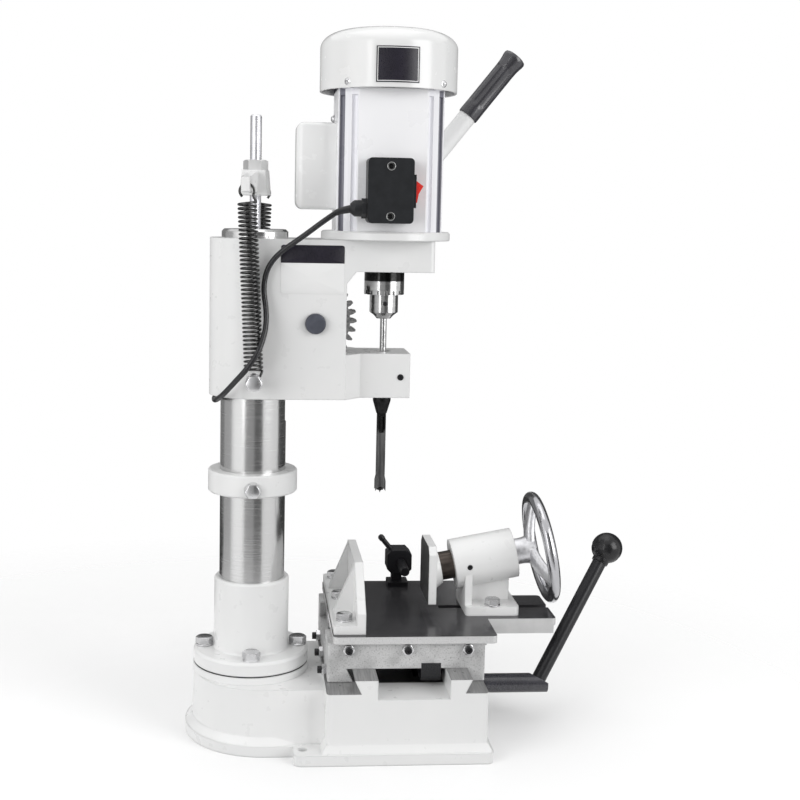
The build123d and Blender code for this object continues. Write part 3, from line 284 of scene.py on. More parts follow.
# Feed lever: the end of its shaft, and the grip as radius, place along the lever and share of the flutes
FEED_PIVOT = (71.5, 122.0, 512.0)
FEED_TILT = 51.7
FEED_END_Y = -58.95
GRIP_FLUTES = 8
GRIP_FLUTE = 1.1
GRIP_FLUTE_HALF = 0.3
GRIP_BORE = 12.06
GRIP_BORE_END = 419.1
GRIP_END = 427.0
GRIP_SIDE = [(13.1, 328, 0), (13.6, 328.7, 0), (13.7, 332, 0), (13.6, 342, 0), (13.5, 345, 0),
             (13.5, 346.5, 0.7), (13.5, 349, 1), (13.5, 402, 1), (13.5, 404.5, 0.7), (13.6, 406, 0),
             (13.8, 411, 0), (14.4, 416, 0), (15.3, 420.5, 0), (15.4, 423.5, 0), (14.7, 425.6, 0),
             (12.5, 426.7, 0), (7, GRIP_END, 0)]


def mm(x, y, z):
    return Vector((x, y, z)) * MM


# Shader nodes; their owner is a material or the world
def add_node(owner, kind, inputs=None, **settings):
    """New node; an input that is given another node's socket is linked, any other is a constant."""
    node = owner.node_tree.nodes.new("ShaderNode" + kind)
    for key, value in settings.items():
        setattr(node, key, value)
    for key, value in (inputs or {}).items():
        if isinstance(value, bpy.types.NodeSocket):
            owner.node_tree.links.new(value, node.inputs[key])
        else:
            node.inputs[key].default_value = value
    return node


def rgb(color):
    """Three parts of a colour that is given by them or as a grey."""
    return tuple(color) if hasattr(color, "__len__") else (color, color, color)


def bsdf_of(mat):
    return mat.node_tree.nodes["Principled BSDF"]


def principled(name, color, rough, metal=0.0, coat=0.0):
    mat = bpy.data.materials.new(name)
    mat.use_nodes = True
    inputs = bsdf_of(mat).inputs
    inputs["Base Color"].default_value = (*rgb(color), 1)
    inputs["Roughness"].default_value = rough
    inputs["Metallic"].default_value = metal
    inputs["Coat Weight"].default_value = coat
    inputs["Coat Roughness"].default_value = 0.12
    return mat


def set_shine(mat, level):
    bsdf_of(mat).inputs["Specular IOR Level"].default_value = level


def feed(mat, value, socket):
    mat.node_tree.links.new(value, bsdf_of(mat).inputs[socket])


def show(mat, shader):
    mat.node_tree.links.new(shader, mat.node_tree.nodes["Material Output"].inputs[0])


def coordinates(owner, kind):
    return add_node(owner, "TexCoord").outputs[kind]


def axis_value(owner, kind, axis):
    """One part of the owner's coordinates or of its normals."""
    return add_node(owner, "SeparateXYZ", {0: coordinates(owner, kind)}).outputs[axis]


def noise(mat, per_metre, detail=3.0, stretch=EVEN):
    place = add_node(mat, "Mapping", {"Vector": coordinates(mat, "Object"), "Scale": stretch})
    grain = add_node(mat, "TexNoise", {"Vector": place.outputs[0], "Scale": per_metre, "Detail": detail})
    return grain.outputs["Fac"]


def span(owner, value, start, end, low=0.0, high=1.0):
    """Value that goes from low at start to high at end and stays there."""
    inputs = {"Value": value, "From Min": start, "From Max": end, "To Min": low, "To Max": high}
    return add_node(owner, "MapRange", inputs).outputs[0]


def calc(owner, operation, *values):
    return add_node(owner, "Math", dict(enumerate(values)), operation=operation).outputs[0]


def all_of(mat, first, *others):
    """1 where every one of the masks is 1."""
    for other in others:
        first = calc(mat, "MULTIPLY", first, other)
    return first


def past(mat, value, at_mm, soft_mm):
    """Mask that rises from 0 at a size to 1 a soft width further on, or further back if that is negative."""
    return span(mat, value, at_mm * MM, (at_mm + soft_mm) * MM)


def above(mat, axis, at_mm, soft_mm=0.4):
    """1 where the object's coordinate is over a size in millimetres."""
    return past(mat, axis_value(mat, "Object", axis), at_mm - soft_mm, 2 * soft_mm)


def facing(mat, axis, sign=1):
    """1 on faces that look along an axis, from the node's own normals."""
    return span(mat, axis_value(mat, "Normal", axis), 0.6 * sign, 0.9 * sign)


def ramp(mat, value, stops):
    """Colour ramp from stops of a position and a grey or a colour."""
    node = add_node(mat, "ValToRGB", {"Fac": value})
    points = node.color_ramp.elements
    while len(points) < len(stops):
        points.new(0.5)
    for point, (at, color) in zip(points, stops):
        point.position = at
        point.color = (*rgb(color), 1)
    return node.outputs["Color"]


def mixed(mat, factor, first, second, blend="MIX"):
    """Colour that goes from the first to the second, or to their blend, with the factor."""
    inputs = {"Factor": factor, "A": first, "B": second}
    return add_node(mat, "Mix", inputs, data_type="RGBA", blend_type=blend).outputs["Result"]


def vary_rough(mat, value, low, high):
    feed(mat, span(mat, value, 0.3, 0.7, low, high), "Roughness")


def bump(mat, value, height_mm, strength, edge_mm):
    """Fine relief on top of edges that are softened by a small radius."""
    edge = add_node(mat, "Bevel", {"Radius": edge_mm * MM}, samples=4)
    relief = {"Height": value, "Normal": edge.outputs[0], "Strength": strength, "Distance": height_mm * MM}
    feed(mat, add_node(mat, "Bump", relief).outputs[0], "Normal")


def background_rays(owner):
    """1 on rays that see the plain background: camera, glossy and transmission rays."""
    path = add_node(owner, "LightPath")
    total = path.outputs["Is Camera Ray"]
    for name in ("Is Glossy Ray", "Is Transmission Ray"):
        total = calc(owner, "MAXIMUM", total, path.outputs[name])
    return total


# Camera and studio
def make_camera():
    yaw, pitch, roll = (math.radians(a) for a in (YAW, PITCH, ROLL))
    ahead = Vector((math.sin(yaw) * math.cos(pitch), math.cos(yaw) * math.cos(pitch), -math.sin(pitch)))
    level = Vector((math.cos(yaw), -math.sin(yaw), 0))
    upright = level.cross(ahead)
    right = level * math.cos(roll) + upright * math.sin(roll)
    up = upright * math.cos(roll) - level * math.sin(roll)
    data = bpy.data.cameras.new("camera")
    data.sensor_width = SENSOR
    data.lens = SENSOR * FOCAL_PX / PHOTO_PX
    data.shift_x = (PHOTO_PX / 2 - CENTRE_PX[0]) / PHOTO_PX
    data.shift_y = (CENTRE_PX[1] - PHOTO_PX / 2) / PHOTO_PX
    data.clip_start = 0.05
    data.clip_end = 60.0
    camera = bpy.data.objects.new("camera", data)
    bpy.context.scene.collection.objects.link(camera)
    turn = Matrix((right, up, -ahead)).transposed().to_4x4()
    camera.matrix_world = Matrix.Translation(mm(*EYE)) @ turn
    bpy.context.scene.camera = camera


def make_world():
    """White background, and for diffuse light a studio that is dimmer on the camera's side."""
    world = bpy.data.worlds.new("studio")
    bpy.context.scene.world = world
    world.use_nodes = True
    world.node_tree.nodes.clear()
    diffuse = span(world, axis_value(world, "Generated", "Y"), *WORLD_Y, *WORLD_LIGHT)
    level = add_node(world, "Mix", {"Factor": background_rays(world), "A": diffuse, "B": 1.0})
    light = add_node(world, "Background", {"Color": (1, 1, 1, 1), "Strength": level.outputs[0]})
    add_node(world, "OutputWorld", {0: light.outputs[0]})


def make_floor():
    """Pale floor that fades into the background with distance and keeps the object's shadow."""
    bpy.ops.mesh.primitive_circle_add(vertices=96, radius=FLOOR_R, fill_type="NGON")
    floor = bpy.context.object
    floor.name = "floor"
    mat = principled("floor", FLOOR_GREY[0], 0.9)
    set_shine(mat, 0.1)
    greys = [(*rgb(grey), 1) for grey in FLOOR_GREY]
    feed(mat, mixed(mat, background_rays(mat), *greys), "Base Color")
    reach = add_node(mat, "VectorMath", {0: coordinates(mat, "Object")}, operation="LENGTH")
    fade = span(mat, reach.outputs["Value"], *FLOOR_FADE)
    clear = add_node(mat, "BsdfTransparent")
    mix = add_node(mat, "MixShader", {0: fade, 1: bsdf_of(mat).outputs[0], 2: clear.outputs[0]})
    show(mat, mix.outputs[0])
    floor.data.materials.append(mat)


def softbox(name, place, aim, size, power):
    data = bpy.data.lights.new(name, "AREA")
    data.shape = "RECTANGLE"
    data.size, data.size_y = size
    data.energy = power
    lamp = bpy.data.objects.new(name, data)
    bpy.context.scene.collection.objects.link(lamp)
    lamp.location = place
    lamp.rotation_euler = (Vector(aim) - Vector(place)).to_track_quat("-Z", "Y").to_euler()


def card(name, place, turn, size, level):
    """Studio card that only reflections see."""
    bpy.ops.mesh.primitive_plane_add(size=1.0)
    board = bpy.context.object
    board.name = name
    board.scale = (*size, 1)
    board.location = place
    board.rotation_euler = turn
    mat = bpy.data.materials.new(name)
    mat.use_nodes = True
    mat.node_tree.nodes.remove(bsdf_of(mat))
    glow = add_node(mat, "Emission", {"Color": (*rgb(level), 1)})
    show(mat, glow.outputs[0])
    board.data.materials.append(mat)
    board.visible_camera = False
    board.visible_diffuse = False
    board.visible_shadow = False
    board.visible_transmission = False


def standing_card(name, first, last, level):
    """Upright card between two bearings, in degrees from the camera's side toward the operator's."""
    a = math.radians((first + last) / 2)
    width = 2 * CARD_AWAY * math.tan(math.radians(last - first) / 2)
    place = (math.sin(a) * CARD_AWAY + CARD_X, -math.cos(a) * CARD_AWAY, sum(CARD_Z) / 2)
    card(name, place, (math.pi / 2, 0, a), (width, CARD_Z[1] - CARD_Z[0]), level)


make_camera()
make_world()
make_floor()
for lamp_name, settings in LAMPS.items():
    softbox(lamp_name, *settings)
for card_name, settings in CARDS.items():
    standing_card(card_name, *settings)
card("card_low", LOW_CARD_AT, (0, 0, 0), LOW_CARD_SIZE, LOW_CARD_LEVEL)
bpy.context.scene.view_settings.view_transform = "Standard"


# Finishes
def enamel_color(mat, level):
    pale = (level, level, level * 0.995)
    return ramp(mat, noise(mat, 14.0), [(0.3, (level * 0.965, level * 0.97, level * 0.968)), (0.7, pale)])


def enamel(name, level, rough=0.32, edge=2.0):
    """Sprayed gloss paint with a faint orange peel and slow tone changes."""
    mat = principled(name, level, rough, coat=0.3)
    feed(mat, enamel_color(mat, level), "Base Color")
    vary_rough(mat, noise(mat, 60.0), rough - 0.06, rough + 0.08)
    bump(mat, noise(mat, 700.0, 2.0), 0.012, 0.3, edge)
    return mat


def machined_color(mat, level, spread, stretch, per_metre=500.0):
    lines = noise(mat, per_metre, 4.0, stretch)
    low, high = level * (1 - spread), level * (1 + spread * 0.4)
    return ramp(mat, lines, [(0.35, (low, low, low * 1.01)), (0.65, (high, high, high * 0.995))])


def base_enamel():
    """Painted base whose ways and ledges are ground bare, with painted shade that darkens the channel between
    the ways under the saddle.
    """
    level = 0.80
    mat = enamel("base_paint", level, edge=3.0)
    ways = all_of(mat, facing(mat, "Z"), above(mat, "Z", WAY_Z), above(mat, "X", WAY_X))
    bare = machined_color(mat, 0.24, 0.3, LINES_Y)
    x, y, z = (axis_value(mat, "Object", axis) for axis in "XYZ")
    channel = all_of(mat, above(mat, "X", CHANNEL_X[0]), past(mat, x, CHANNEL_X[1], -1),
                     past(mat, z, CHANNEL_Z[1], -1), above(mat, "Z", CHANNEL_Z[0]),
                     past(mat, calc(mat, "ABSOLUTE", y), CHANNEL_HALF, -3))
    # Painted shade: the channel between the ways is coloured near black under the saddle.
    channel_painted_shade = ramp(mat, noise(mat, 60.0), [(0.3, 0.006), (0.7, 0.012)])
    color = mixed(mat, ways, enamel_color(mat, level), bare)
    feed(mat, mixed(mat, channel, color, channel_painted_shade), "Base Color")
    return mat


def jaw_enamel():
    """Painted jaw with a bare face toward the work."""
    level = 0.80
    mat = enamel("jaw_paint", level)
    bare = machined_color(mat, 0.055, 0.3, LINES_Y)
    feed(mat, mixed(mat, facing(mat, "X", -1), enamel_color(mat, level), bare), "Base Color")
    return mat


def steel(name, level, rough, stretch, per_metre=900.0, spread=0.25, edge=0.5, relief=0.3):
    """Worked steel whose tool lines run the way that the grain is drawn out."""
    color = rgb(level)
    mat = principled(name, color, rough, 1.0)
    lines = noise(mat, per_metre, 4.0, stretch)
    low = tuple(c * (1 - spread) for c in color)
    high = tuple(c * (1 + spread * 0.4) for c in color)
    feed(mat, ramp(mat, lines, [(0.35, low), (0.65, high)]), "Base Color")
    vary_rough(mat, lines, rough - 0.05, rough + 0.08)
    bump(mat, lines, 0.01, relief, edge)
    return mat


def chuck_steel():
    """Bright chuck that is black on its upper part."""
    mat = steel("chuck_steel", 0.55, 0.15, RINGS, 700.0, 0.10)
    black = ramp(mat, noise(mat, 300.0), [(0.3, 0.012), (0.7, 0.03)])
    bright = machined_color(mat, 0.55, 0.10, RINGS, 300.0)
    feed(mat, mixed(mat, above(mat, "Z", CHUCK_SLEEVE_Z), bright, black), "Base Color")
    return mat


def bit_steel():
    """Bright shank over a bit with painted shade, near black, where it sits inside the chisel."""
    mat = steel("bit_steel", 0.55, 0.16, RINGS, 300.0, 0.08)
    # Painted shade: below the shank's height the bit is coloured near black inside the chisel.
    dark = ramp(mat, noise(mat, 300.0), [(0.3, 0.03), (0.7, 0.06)])
    bright = machined_color(mat, 0.55, 0.08, RINGS, 300.0)
    feed(mat, mixed(mat, above(mat, "Z", BIT_SHANK_Z), dark, bright), "Base Color")
    return mat


def chisel_steel():
    """Blued shank over a grey ground blade."""
    mat = steel("chisel_steel", 0.14, 0.42, LINES_Z, 420.0, 0.35)
    blue = ramp(mat, noise(mat, 200.0), [(0.3, 0.014), (0.7, 0.03)])
    grey = machined_color(mat, 0.15, 0.35, LINES_Z, 420.0)
    feed(mat, mixed(mat, above(mat, "Z", CHISEL_SHANK_Z, 3.0), grey, blue), "Base Color")
    return mat


def motor_aluminium():
    """Extruded shell: satin pale flats and bright metal in the corners, with painted shade that darkens the
    flutes toward the sides.
    """
    mat = principled("motor_aluminium", (0.8, 0.8, 0.82), 0.3)
    across = calc(mat, "SUBTRACT", axis_value(mat, "Object", "X"), AXIS_X * MM)
    sides = [calc(mat, "ABSOLUTE", value) for value in (across, axis_value(mat, "Object", "Y"))]
    normals = [calc(mat, "ABSOLUTE", axis_value(mat, "Normal", axis)) for axis in "XY"]
    outside = past(mat, calc(mat, "MAXIMUM", *sides), FRAME_HALF - 0.8, 0.5)
    flat = all_of(mat, span(mat, calc(mat, "MAXIMUM", *normals), 0.95, 0.985), outside)
    lean = calc(mat, "SUBTRACT", *sides)
    off = calc(mat, "ABSOLUTE", lean)
    flute = all_of(mat, past(mat, off, FLUTE_BAND[0], 0.8), past(mat, off, FLUTE_BAND[1], -0.8))
    lines = noise(mat, 260.0, 2.0, (1, 1, 0.02))
    # Painted shade: flutes nearer the faces toward X are dark, and those nearer the faces toward Y keep a
    # bright tone.
    shade = mixed(mat, past(mat, lean, -2, 4),
                  ramp(mat, lines, [(0.35, (0.84, 0.84, 0.88)), (0.65, (0.88, 0.88, 0.92))]),
                  ramp(mat, lines, [(0.35, (0.15, 0.15, 0.185)), (0.65, (0.19, 0.19, 0.23))]))
    bright = ramp(mat, lines, [(0.35, (0.84, 0.84, 0.87)), (0.65, (0.88, 0.88, 0.91))])
    metal = mixed(mat, flute, bright, shade)
    pale = ramp(mat, noise(mat, 20.0), [(0.3, (0.90, 0.90, 0.915)), (0.7, (0.91, 0.91, 0.925))])
    feed(mat, mixed(mat, flat, metal, pale), "Base Color")
    vary_rough(mat, noise(mat, 40.0), 0.26, 0.34)
    bump(mat, lines, 0.004, 0.1, 0.8)
    return mat


def cast(name, dark, light, per_metre=520.0):
    """Bare sand-cast iron: light grey with dark pits."""
    mat = principled(name, light, 0.6, 0.2)
    grain = noise(mat, per_metre, 5.0)
    stains = ramp(mat, noise(mat, 35.0), [(0.30, 0.72), (0.55, 1.0)])
    pits = ramp(mat, grain, [(0.30, dark), (0.42, light * 0.88), (0.60, light)])
    feed(mat, mixed(mat, 1.0, pits, stains, "MULTIPLY"), "Base Color")
    vary_rough(mat, grain, 0.5, 0.75)
    bump(mat, grain, 0.12, 0.4, 1.5)
    return mat


def ground_table():
    """Dark ground top with fine grinding lines, pale cast edges and a smoother wing."""
    mat = principled("ground_iron", (0.06, 0.06, 0.062), 0.4, 0.25)
    set_shine(mat, 0.35)
    lines = noise(mat, 500.0, 4.0, (0.04, 1, 1))
    top = ramp(mat, lines, [(0.35, (0.046, 0.045, 0.048)), (0.65, (0.070, 0.069, 0.073))])
    grain = noise(mat, 620.0, 5.0)
    edge = ramp(mat, grain, [(0.28, 0.42), (0.40, 0.60), (0.6, 0.66)])
    smooth = ramp(mat, noise(mat, 80.0), [(0.3, 0.58), (0.7, 0.64)])
    sides = mixed(mat, above(mat, "X", TABLE_WING_X), edge, smooth)
    from_slot = calc(mat, "SUBTRACT", axis_value(mat, "Object", "Y"), VISE_START[1] * MM)
    in_slot = past(mat, calc(mat, "ABSOLUTE", from_slot), T_SLOT_HALF, -1)
    sides = mixed(mat, in_slot, sides, top)
    feed(mat, mixed(mat, facing(mat, "Z"), sides, top), "Base Color")
    vary_rough(mat, lines, 0.16, 0.24)
    bump(mat, grain, 0.04, 0.25, 1.0)
    return mat


def moulded(name, color, rough, peel=0.06, shine=0.3, edge=0.8):
    """Moulded plastic, rubber or black oxide with a fine even texture."""
    mat = principled(name, color, rough)
    set_shine(mat, shine)
    fine = noise(mat, 1400.0, 2.0)
    dark, light = tuple(c * 0.8 for c in color), tuple(c * 1.2 for c in color)
    feed(mat, ramp(mat, noise(mat, 90.0), [(0.3, dark), (0.7, light)]), "Base Color")
    vary_rough(mat, fine, rough - 0.06, rough + 0.08)
    bump(mat, fine, peel, 0.4, edge)
    return mat


FINISH = {
    "white": enamel("white_paint", 0.80),
    "plate": enamel("plate_paint", 0.80, edge=0.8),
    "base": base_enamel(),
    "jaw": jaw_enamel(),
    "shell": enamel("motor_paint", 0.79, 0.22, 1.2),
    "cap": enamel("cap_paint", 0.86, 0.22, 1.2),
    # Painted light: a lighter copy of the white enamel for the feed lever, which the lamps light less than
    # the other white parts.
    "lever": enamel("lever_paint_lightened", 0.90, 0.30, 0.8),
    "zinc": steel("zinc_steel", (0.66, 0.66, 0.67), 0.24, EVEN, 40.0, 0.08, 0.3),
    "nut": steel("nut_steel", (0.74, 0.74, 0.74), 0.44, EVEN, 40.0, 0.08, 0.3),
    "rod": steel("rod_steel", (0.78, 0.78, 0.81), 0.28, EVEN, 40.0, 0.08, 0.2),
    "column": steel("ground_steel", 0.58, 0.20, (0.02, 0.02, 1), 1600.0, 0.02, relief=0.015),
    "bright": steel("bright_steel", 0.62, 0.16, RINGS, 300.0, 0.08),
    "chuck": chuck_steel(),
    "bit": bit_steel(),
    "dark_steel": steel("dark_steel", 0.13, 0.38, (1, 1, 0.3), 400.0, 0.3),
    "spring": steel("spring_steel", 0.085, 0.20, EVEN, 60.0, 0.2),
    "gear": steel("gear_steel", 0.34, 0.40, EVEN, 350.0, 0.3),
    "chisel": chisel_steel(),
    "ram": steel("ram_steel", (0.105, 0.088, 0.078), 0.38, (0.06, 1, 0.06), 500.0, 0.4),
    "chrome": steel("chrome", (0.52, 0.52, 0.54), 0.15, EVEN, 40.0, 0.08, 0.4),
    "satin": steel("satin_chrome", (0.74, 0.74, 0.76), 0.40, EVEN, 250.0, 0.12, 0.6, 0.25),
    "aluminium": motor_aluminium(),
    "cast": cast("raw_iron", 0.26, 0.60),
    "table": ground_table(),
    "oxide": moulded("black_steel", (0.012, 0.012, 0.014), 0.30, 0.012, 0.4),
    "shaft": moulded("blued_steel", (0.034, 0.033, 0.042), 0.26, 0.01, 0.9),
    "feed_end": moulded("feed_steel", (0.075, 0.080, 0.100), 0.40, 0.02),
    "plastic": moulded("black_plastic", (0.014, 0.015, 0.017), 0.40, 0.03),
    "rubber": moulded("black_rubber", (0.014, 0.014, 0.016), 0.36, 0.03, 0.4),
    "grip": moulded("grip_rubber", (0.034, 0.033, 0.040), 0.27, 0.006, 0.8),
    "cord": moulded("cord_rubber", (0.010, 0.010, 0.012), 0.26, 0.01, 0.5),
    "gloss": moulded("gloss_black", (0.010, 0.010, 0.011), 0.24, 0.01, 0.4),
    "red": moulded("red_plastic", (0.72, 0.03, 0.022), 0.28, 0.02, 0.5),
    "plate_white": enamel("label_white", 0.84, 0.36, 0.2),
    "plate_dark": moulded("plate_dark", (0.016, 0.014, 0.022), 0.30, 0.01, 0.4, 0.2),
}
DRESS = {
    "white": "column_socket spring_hanger stop_collar fixed_jaw vise_body head_casting",
    "lever": "feed_lever",
    "plate": "motor_end_plate",
    "base": "base_casting",
    "jaw": "movable_jaw",
    "column": "column",
    "bright": "vise_screw rotor_shaft motor_bearings",
    "bit": "auger_bit",
    "chuck": "chuck",
    "dark_steel": "column_rack saddle_gib table_gib lever_pinion stator rotor_core",
    "gear": "feed_gear",
    "chisel": "chisel",
    "ram": "vise_ram",
    "aluminium": "motor_frame",
    "cast": "saddle",
    "table": "table",
    "oxide": "saddle_rack lever_arm stop_post stop_block stop_rod clamp_handle",
    "shaft": "lever_shaft",
    "feed_end": "feed_shaft",
    "plastic": "switch_box cable_gland cord_tie power_plug cooling_fan",
    "rubber": "flange_gasket",
    "red": "rocker",
}


def dress_nodes():
    """Finishes of the CAD nodes that no piece stands for."""
    for finish, names in DRESS.items():
        for name in names.split():
            data = NODES[name].data
            data.materials.clear()
            data.materials.append(FINISH[finish])


dress_nodes()


# Shapes in millimetres, each a list of points and a list of faces
def skin(rows, loop=False):
    """Faces between rows of points; a row of one point closes the shape, a loop joins its two ends."""
    points, faces, index = [], [], []
    for row in rows:
        index.append([len(points) + k for k in range(len(row))])
        points += [Vector(p) for p in row]
    if loop:
        index.append(index[0])
    count = max(len(row) for row in rows)
    for low, high in zip(index, index[1:]):
        for k in range(count):
            n = (k + 1) % count
            corners = [low[k % len(low)], low[n % len(low)], high[n % len(high)], high[k % len(high)]]
            face = list(dict.fromkeys(corners))
            if len(face) > 2:
                faces.append(face)
    return points, faces


def angles(steps):
    """Angles of a full turn."""
    return [2 * math.pi * k / steps for k in range(steps)]


def circle(r, z, steps):
    return [(r * math.cos(a), r * math.sin(a), z) for a in angles(steps)]


def middle(row):
    return sum(row, Vector()) / len(row)


def lathe(profile, steps=48, loop=False):
    """Turned body about Z from pairs of radius and height; a radius of 0 closes it."""
    return skin([circle(r, z, steps) if r else [(0, 0, z)] for r, z in profile], loop)


def moved(shape, origin, direction=(0, 0, 1), spin=0.0):
    """Shape that is spun about Z, turned from Z to a direction and set on a place."""
    turn = Vector((0, 0, 1)).rotation_difference(Vector(direction)).to_matrix()
    turn = turn @ Matrix.Rotation(math.radians(spin), 3, "Z")
    return [Vector(origin) + turn @ p for p in shape[0]], shape[1]


def joined(shapes):
    points, faces = [], []
    for more, more_faces in shapes:
        faces += [[k + len(points) for k in face] for face in more_faces]
        points += more
    return points, faces


def hexagon(across, height, bore=0.0):
    """Bolt head or, with a bore, nut: flats with the corners of the top turned off."""
    half = across / 2
    crown = half * 0.95
    slope = 0.55
    steps = 24
    rim = [half / math.cos((a + math.pi / 6) % (math.pi / 3) - math.pi / 6) for a in angles(steps)]

    def row(heights):
        return [(r * math.cos(a), r * math.sin(a), z) for a, r, z in zip(angles(steps), rim, heights)]

    rows = [row([0] * steps), row([height - (r - crown) * slope for r in rim]), circle(crown, height, steps)]
    if bore:
        return skin([circle(bore, 0, steps), *rows, circle(bore, height, steps)], True)
    return skin([[(0, 0, 0)], *rows, [(0, 0, height)]])


def washer(outer, inner, thick):
    edge = thick * 0.25
    section = [(inner, 0), (outer, 0), (outer, thick - edge), (outer - edge, thick), (inner, thick)]
    return lathe(section, 32, True)


def socket_screw(r, height, hole_r, depth):
    """Screw head or set screw end with a round key socket."""
    edge = 0.4
    floor = height - depth
    return lathe([(0, 0), (r, 0), (r, height - edge), (r - edge, height), (hole_r, height), (hole_r, floor),
                  (0, floor)], 24)


def pan_head(r, height):
    """Domed screw head on a thin flange, with a hollow for the driver."""
    shares = [(0, 0), (1.25, 0), (1.25, 0.15), (1, 0.25), (0.92, 0.6), (0.6, 0.92), (0.42, 1), (0.2, 0.45),
              (0, 0.4)]
    return lathe([(r * out, height * up) for out, up in shares], 24)


def rounded_outline(x0, x1, z0, z1, radii):
    """Rectangle with round corners; radii from the low left corner, turning left."""
    corners = [(x0, z0, 1, 1, 180), (x1, z0, -1, 1, 270), (x1, z1, -1, -1, 0), (x0, z1, 1, -1, 90)]
    steps = 6
    outline = []
    for (x, z, side, up, start), r in zip(corners, radii):
        for k in range(steps + 1):
            a = math.radians(start + 90 * k / steps)
            outline.append((x + side * r + r * math.cos(a), z + up * r + r * math.sin(a)))
    return outline


def rounded_plate(x0, x1, z0, z1, thick, radii):
    """Plate in the X-Z plane that stands out toward -Y, with a small bevel round its face."""
    bevel = 0.3
    rim = rounded_outline(x0, x1, z0, z1, radii)
    x_mid, z_mid = (x0 + x1) / 2, (z0 + z1) / 2
    back = [(x, 0, z) for x, z in rim]
    edge = [(x, -thick * 0.7, z) for x, z in rim]
    face = [(x + math.copysign(bevel, x_mid - x), -thick, z + math.copysign(bevel, z_mid - z))
            for x, z in rim]
    return skin([[(x_mid, 0, z_mid)], back, edge, face, [(x_mid, -thick, z_mid)]])


def curved_plate(out, turn0, turn1, z0, z1):
    """Plate bent round the cover, between two distances out from it; turns in degrees from -Y toward +X."""
    r0, r1 = COVER_R + out[0], COVER_R + out[1]
    steps = 12
    rows = []
    for k in range(steps + 1):
        a = math.radians(turn0 + (turn1 - turn0) * k / steps)
        side = Vector((math.sin(a), -math.cos(a), 0))
        rows.append([side * r + Vector((0, 0, z)) for r, z in ((r0, z0), (r1, z0), (r1, z1), (r0, z1))])
    return skin([[middle(rows[0])], *rows, [middle(rows[-1])]])


# Pieces
def add_object(name, mesh, finish):
    piece = bpy.data.objects.new(name, mesh)
    bpy.context.scene.collection.objects.link(piece)
    piece.data.materials.append(FINISH[finish])
    return piece


def add_piece(name, shape, finish, body, replaced=None, angle=35.0):
    """Piece that rides on a body; its edges over an angle in degrees stay sharp."""
    mesh = bpy.data.meshes.new(name)
    mesh.from_pydata([p * MM for p in shape[0]], [], shape[1])
    work = bmesh.new()
    work.from_mesh(mesh)
    bmesh.ops.recalc_face_normals(work, faces=work.faces)
    work.to_mesh(mesh)
    work.free()
    mesh.shade_smooth()
    mesh.set_sharp_from_angle(angle=math.radians(angle))
    piece = add_object(name, mesh, finish)
    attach(piece, body)
    if replaced:
        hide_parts(replaced)
    return piece


# Motor cover, its screws and plate
def make_cover():
    low, high = COVER_Z

    def shell(thick):
        r, top = COVER_R - thick, high - thick
        wide, tall = COVER_SHOULDER[0] - thick, COVER_SHOULDER[1] - thick
        turns = [math.pi / 2 * k / 20 for k in range(21)]
        bend = [(r - wide + wide * math.cos(a), top - tall + tall * math.sin(a)) for a in turns]
        return [(r, low + COVER_LIP)] + bend + [(0, top)]

    rim = [(COVER_R - COVER_T + COVER_LIP, low), (COVER_R - COVER_LIP, low)]
    profile = shell(COVER_T)[::-1] + rim + shell(0)
    cover = moved(lathe(profile, 128), (AXIS_X, 0, 0))
    add_piece("motor_cover_round", cover, "shell", "head", "motor_cover")


def make_cover_screws():
    screws = []
    for turn in COVER_SCREW_TURNS:
        a = math.radians(turn)
        side = Vector((math.cos(a), math.sin(a), 0))
        place = Vector((AXIS_X, 0, COVER_SCREW_Z)) + side * (COVER_R - COVER_SCREW_SINK)
        screws.append(moved(pan_head(*COVER_SCREW), place, side))
    screws.append(moved(pan_head(*BOX_SCREW), BOX_SCREW_AT, (-1, 0, 0)))
    add_piece("cover_screws", joined(screws), "zinc", "head")


def make_cover_plate():
    plate = curved_plate(COVER_PLATE_OUT, *COVER_PLATE_TURNS, *COVER_PLATE_Z)
    add_piece("cover_plate", moved(plate, (AXIS_X, 0, 0)), "plate_dark", "head")
    a0, a1 = COVER_PLATE_TURNS[0] + COVER_LINE_INSET[0], COVER_PLATE_TURNS[1] - COVER_LINE_INSET[0]
    z0, z1 = COVER_PLATE_Z[0] + COVER_LINE_INSET[1], COVER_PLATE_Z[1] - COVER_LINE_INSET[1]
    wide, tall = COVER_LINE_WIDE
    lines = [(a0, a1, z0, z0 + tall), (a0, a1, z1 - tall, z1),
             (a0, a0 + wide, z0 + tall, z1 - tall), (a1 - wide, a1, z0 + tall, z1 - tall)]
    border = joined([curved_plate(COVER_LINE_OUT, *line) for line in lines])
    add_piece("cover_plate_rim", moved(border, (AXIS_X, 0, 0)), "plate_white", "head")


# Grip on the feed lever
def make_grip():
    steps = 96
    rows = [[(0, 0, GRIP_BORE_END)]]
    bore = [(GRIP_BORE, GRIP_BORE_END, 0), (GRIP_BORE, GRIP_SIDE[0][1], 0)]
    for r, along, fluted in bore + GRIP_SIDE:
        row = []
        for k in range(steps):
            share = (GRIP_FLUTES * k / steps + 0.5) % 1.0 - 0.5
            dip = GRIP_FLUTE * fluted * math.sqrt(max(0.0, 1 - (share / GRIP_FLUTE_HALF) ** 2))
            a = 2 * math.pi * (k / steps + 0.5 / GRIP_FLUTES)
            row.append(((r - dip) * math.cos(a), (r - dip) * math.sin(a), along))
        rows.append(row)
    rows.append([(0, 0, GRIP_END)])
    tilt = math.radians(FEED_TILT)
    grip = moved(skin(rows), FEED_PIVOT, (math.cos(tilt), 0, math.sin(tilt)))
    add_piece("lever_grip_fluted", grip, "grip", "feed", "lever_grip", 30.0)


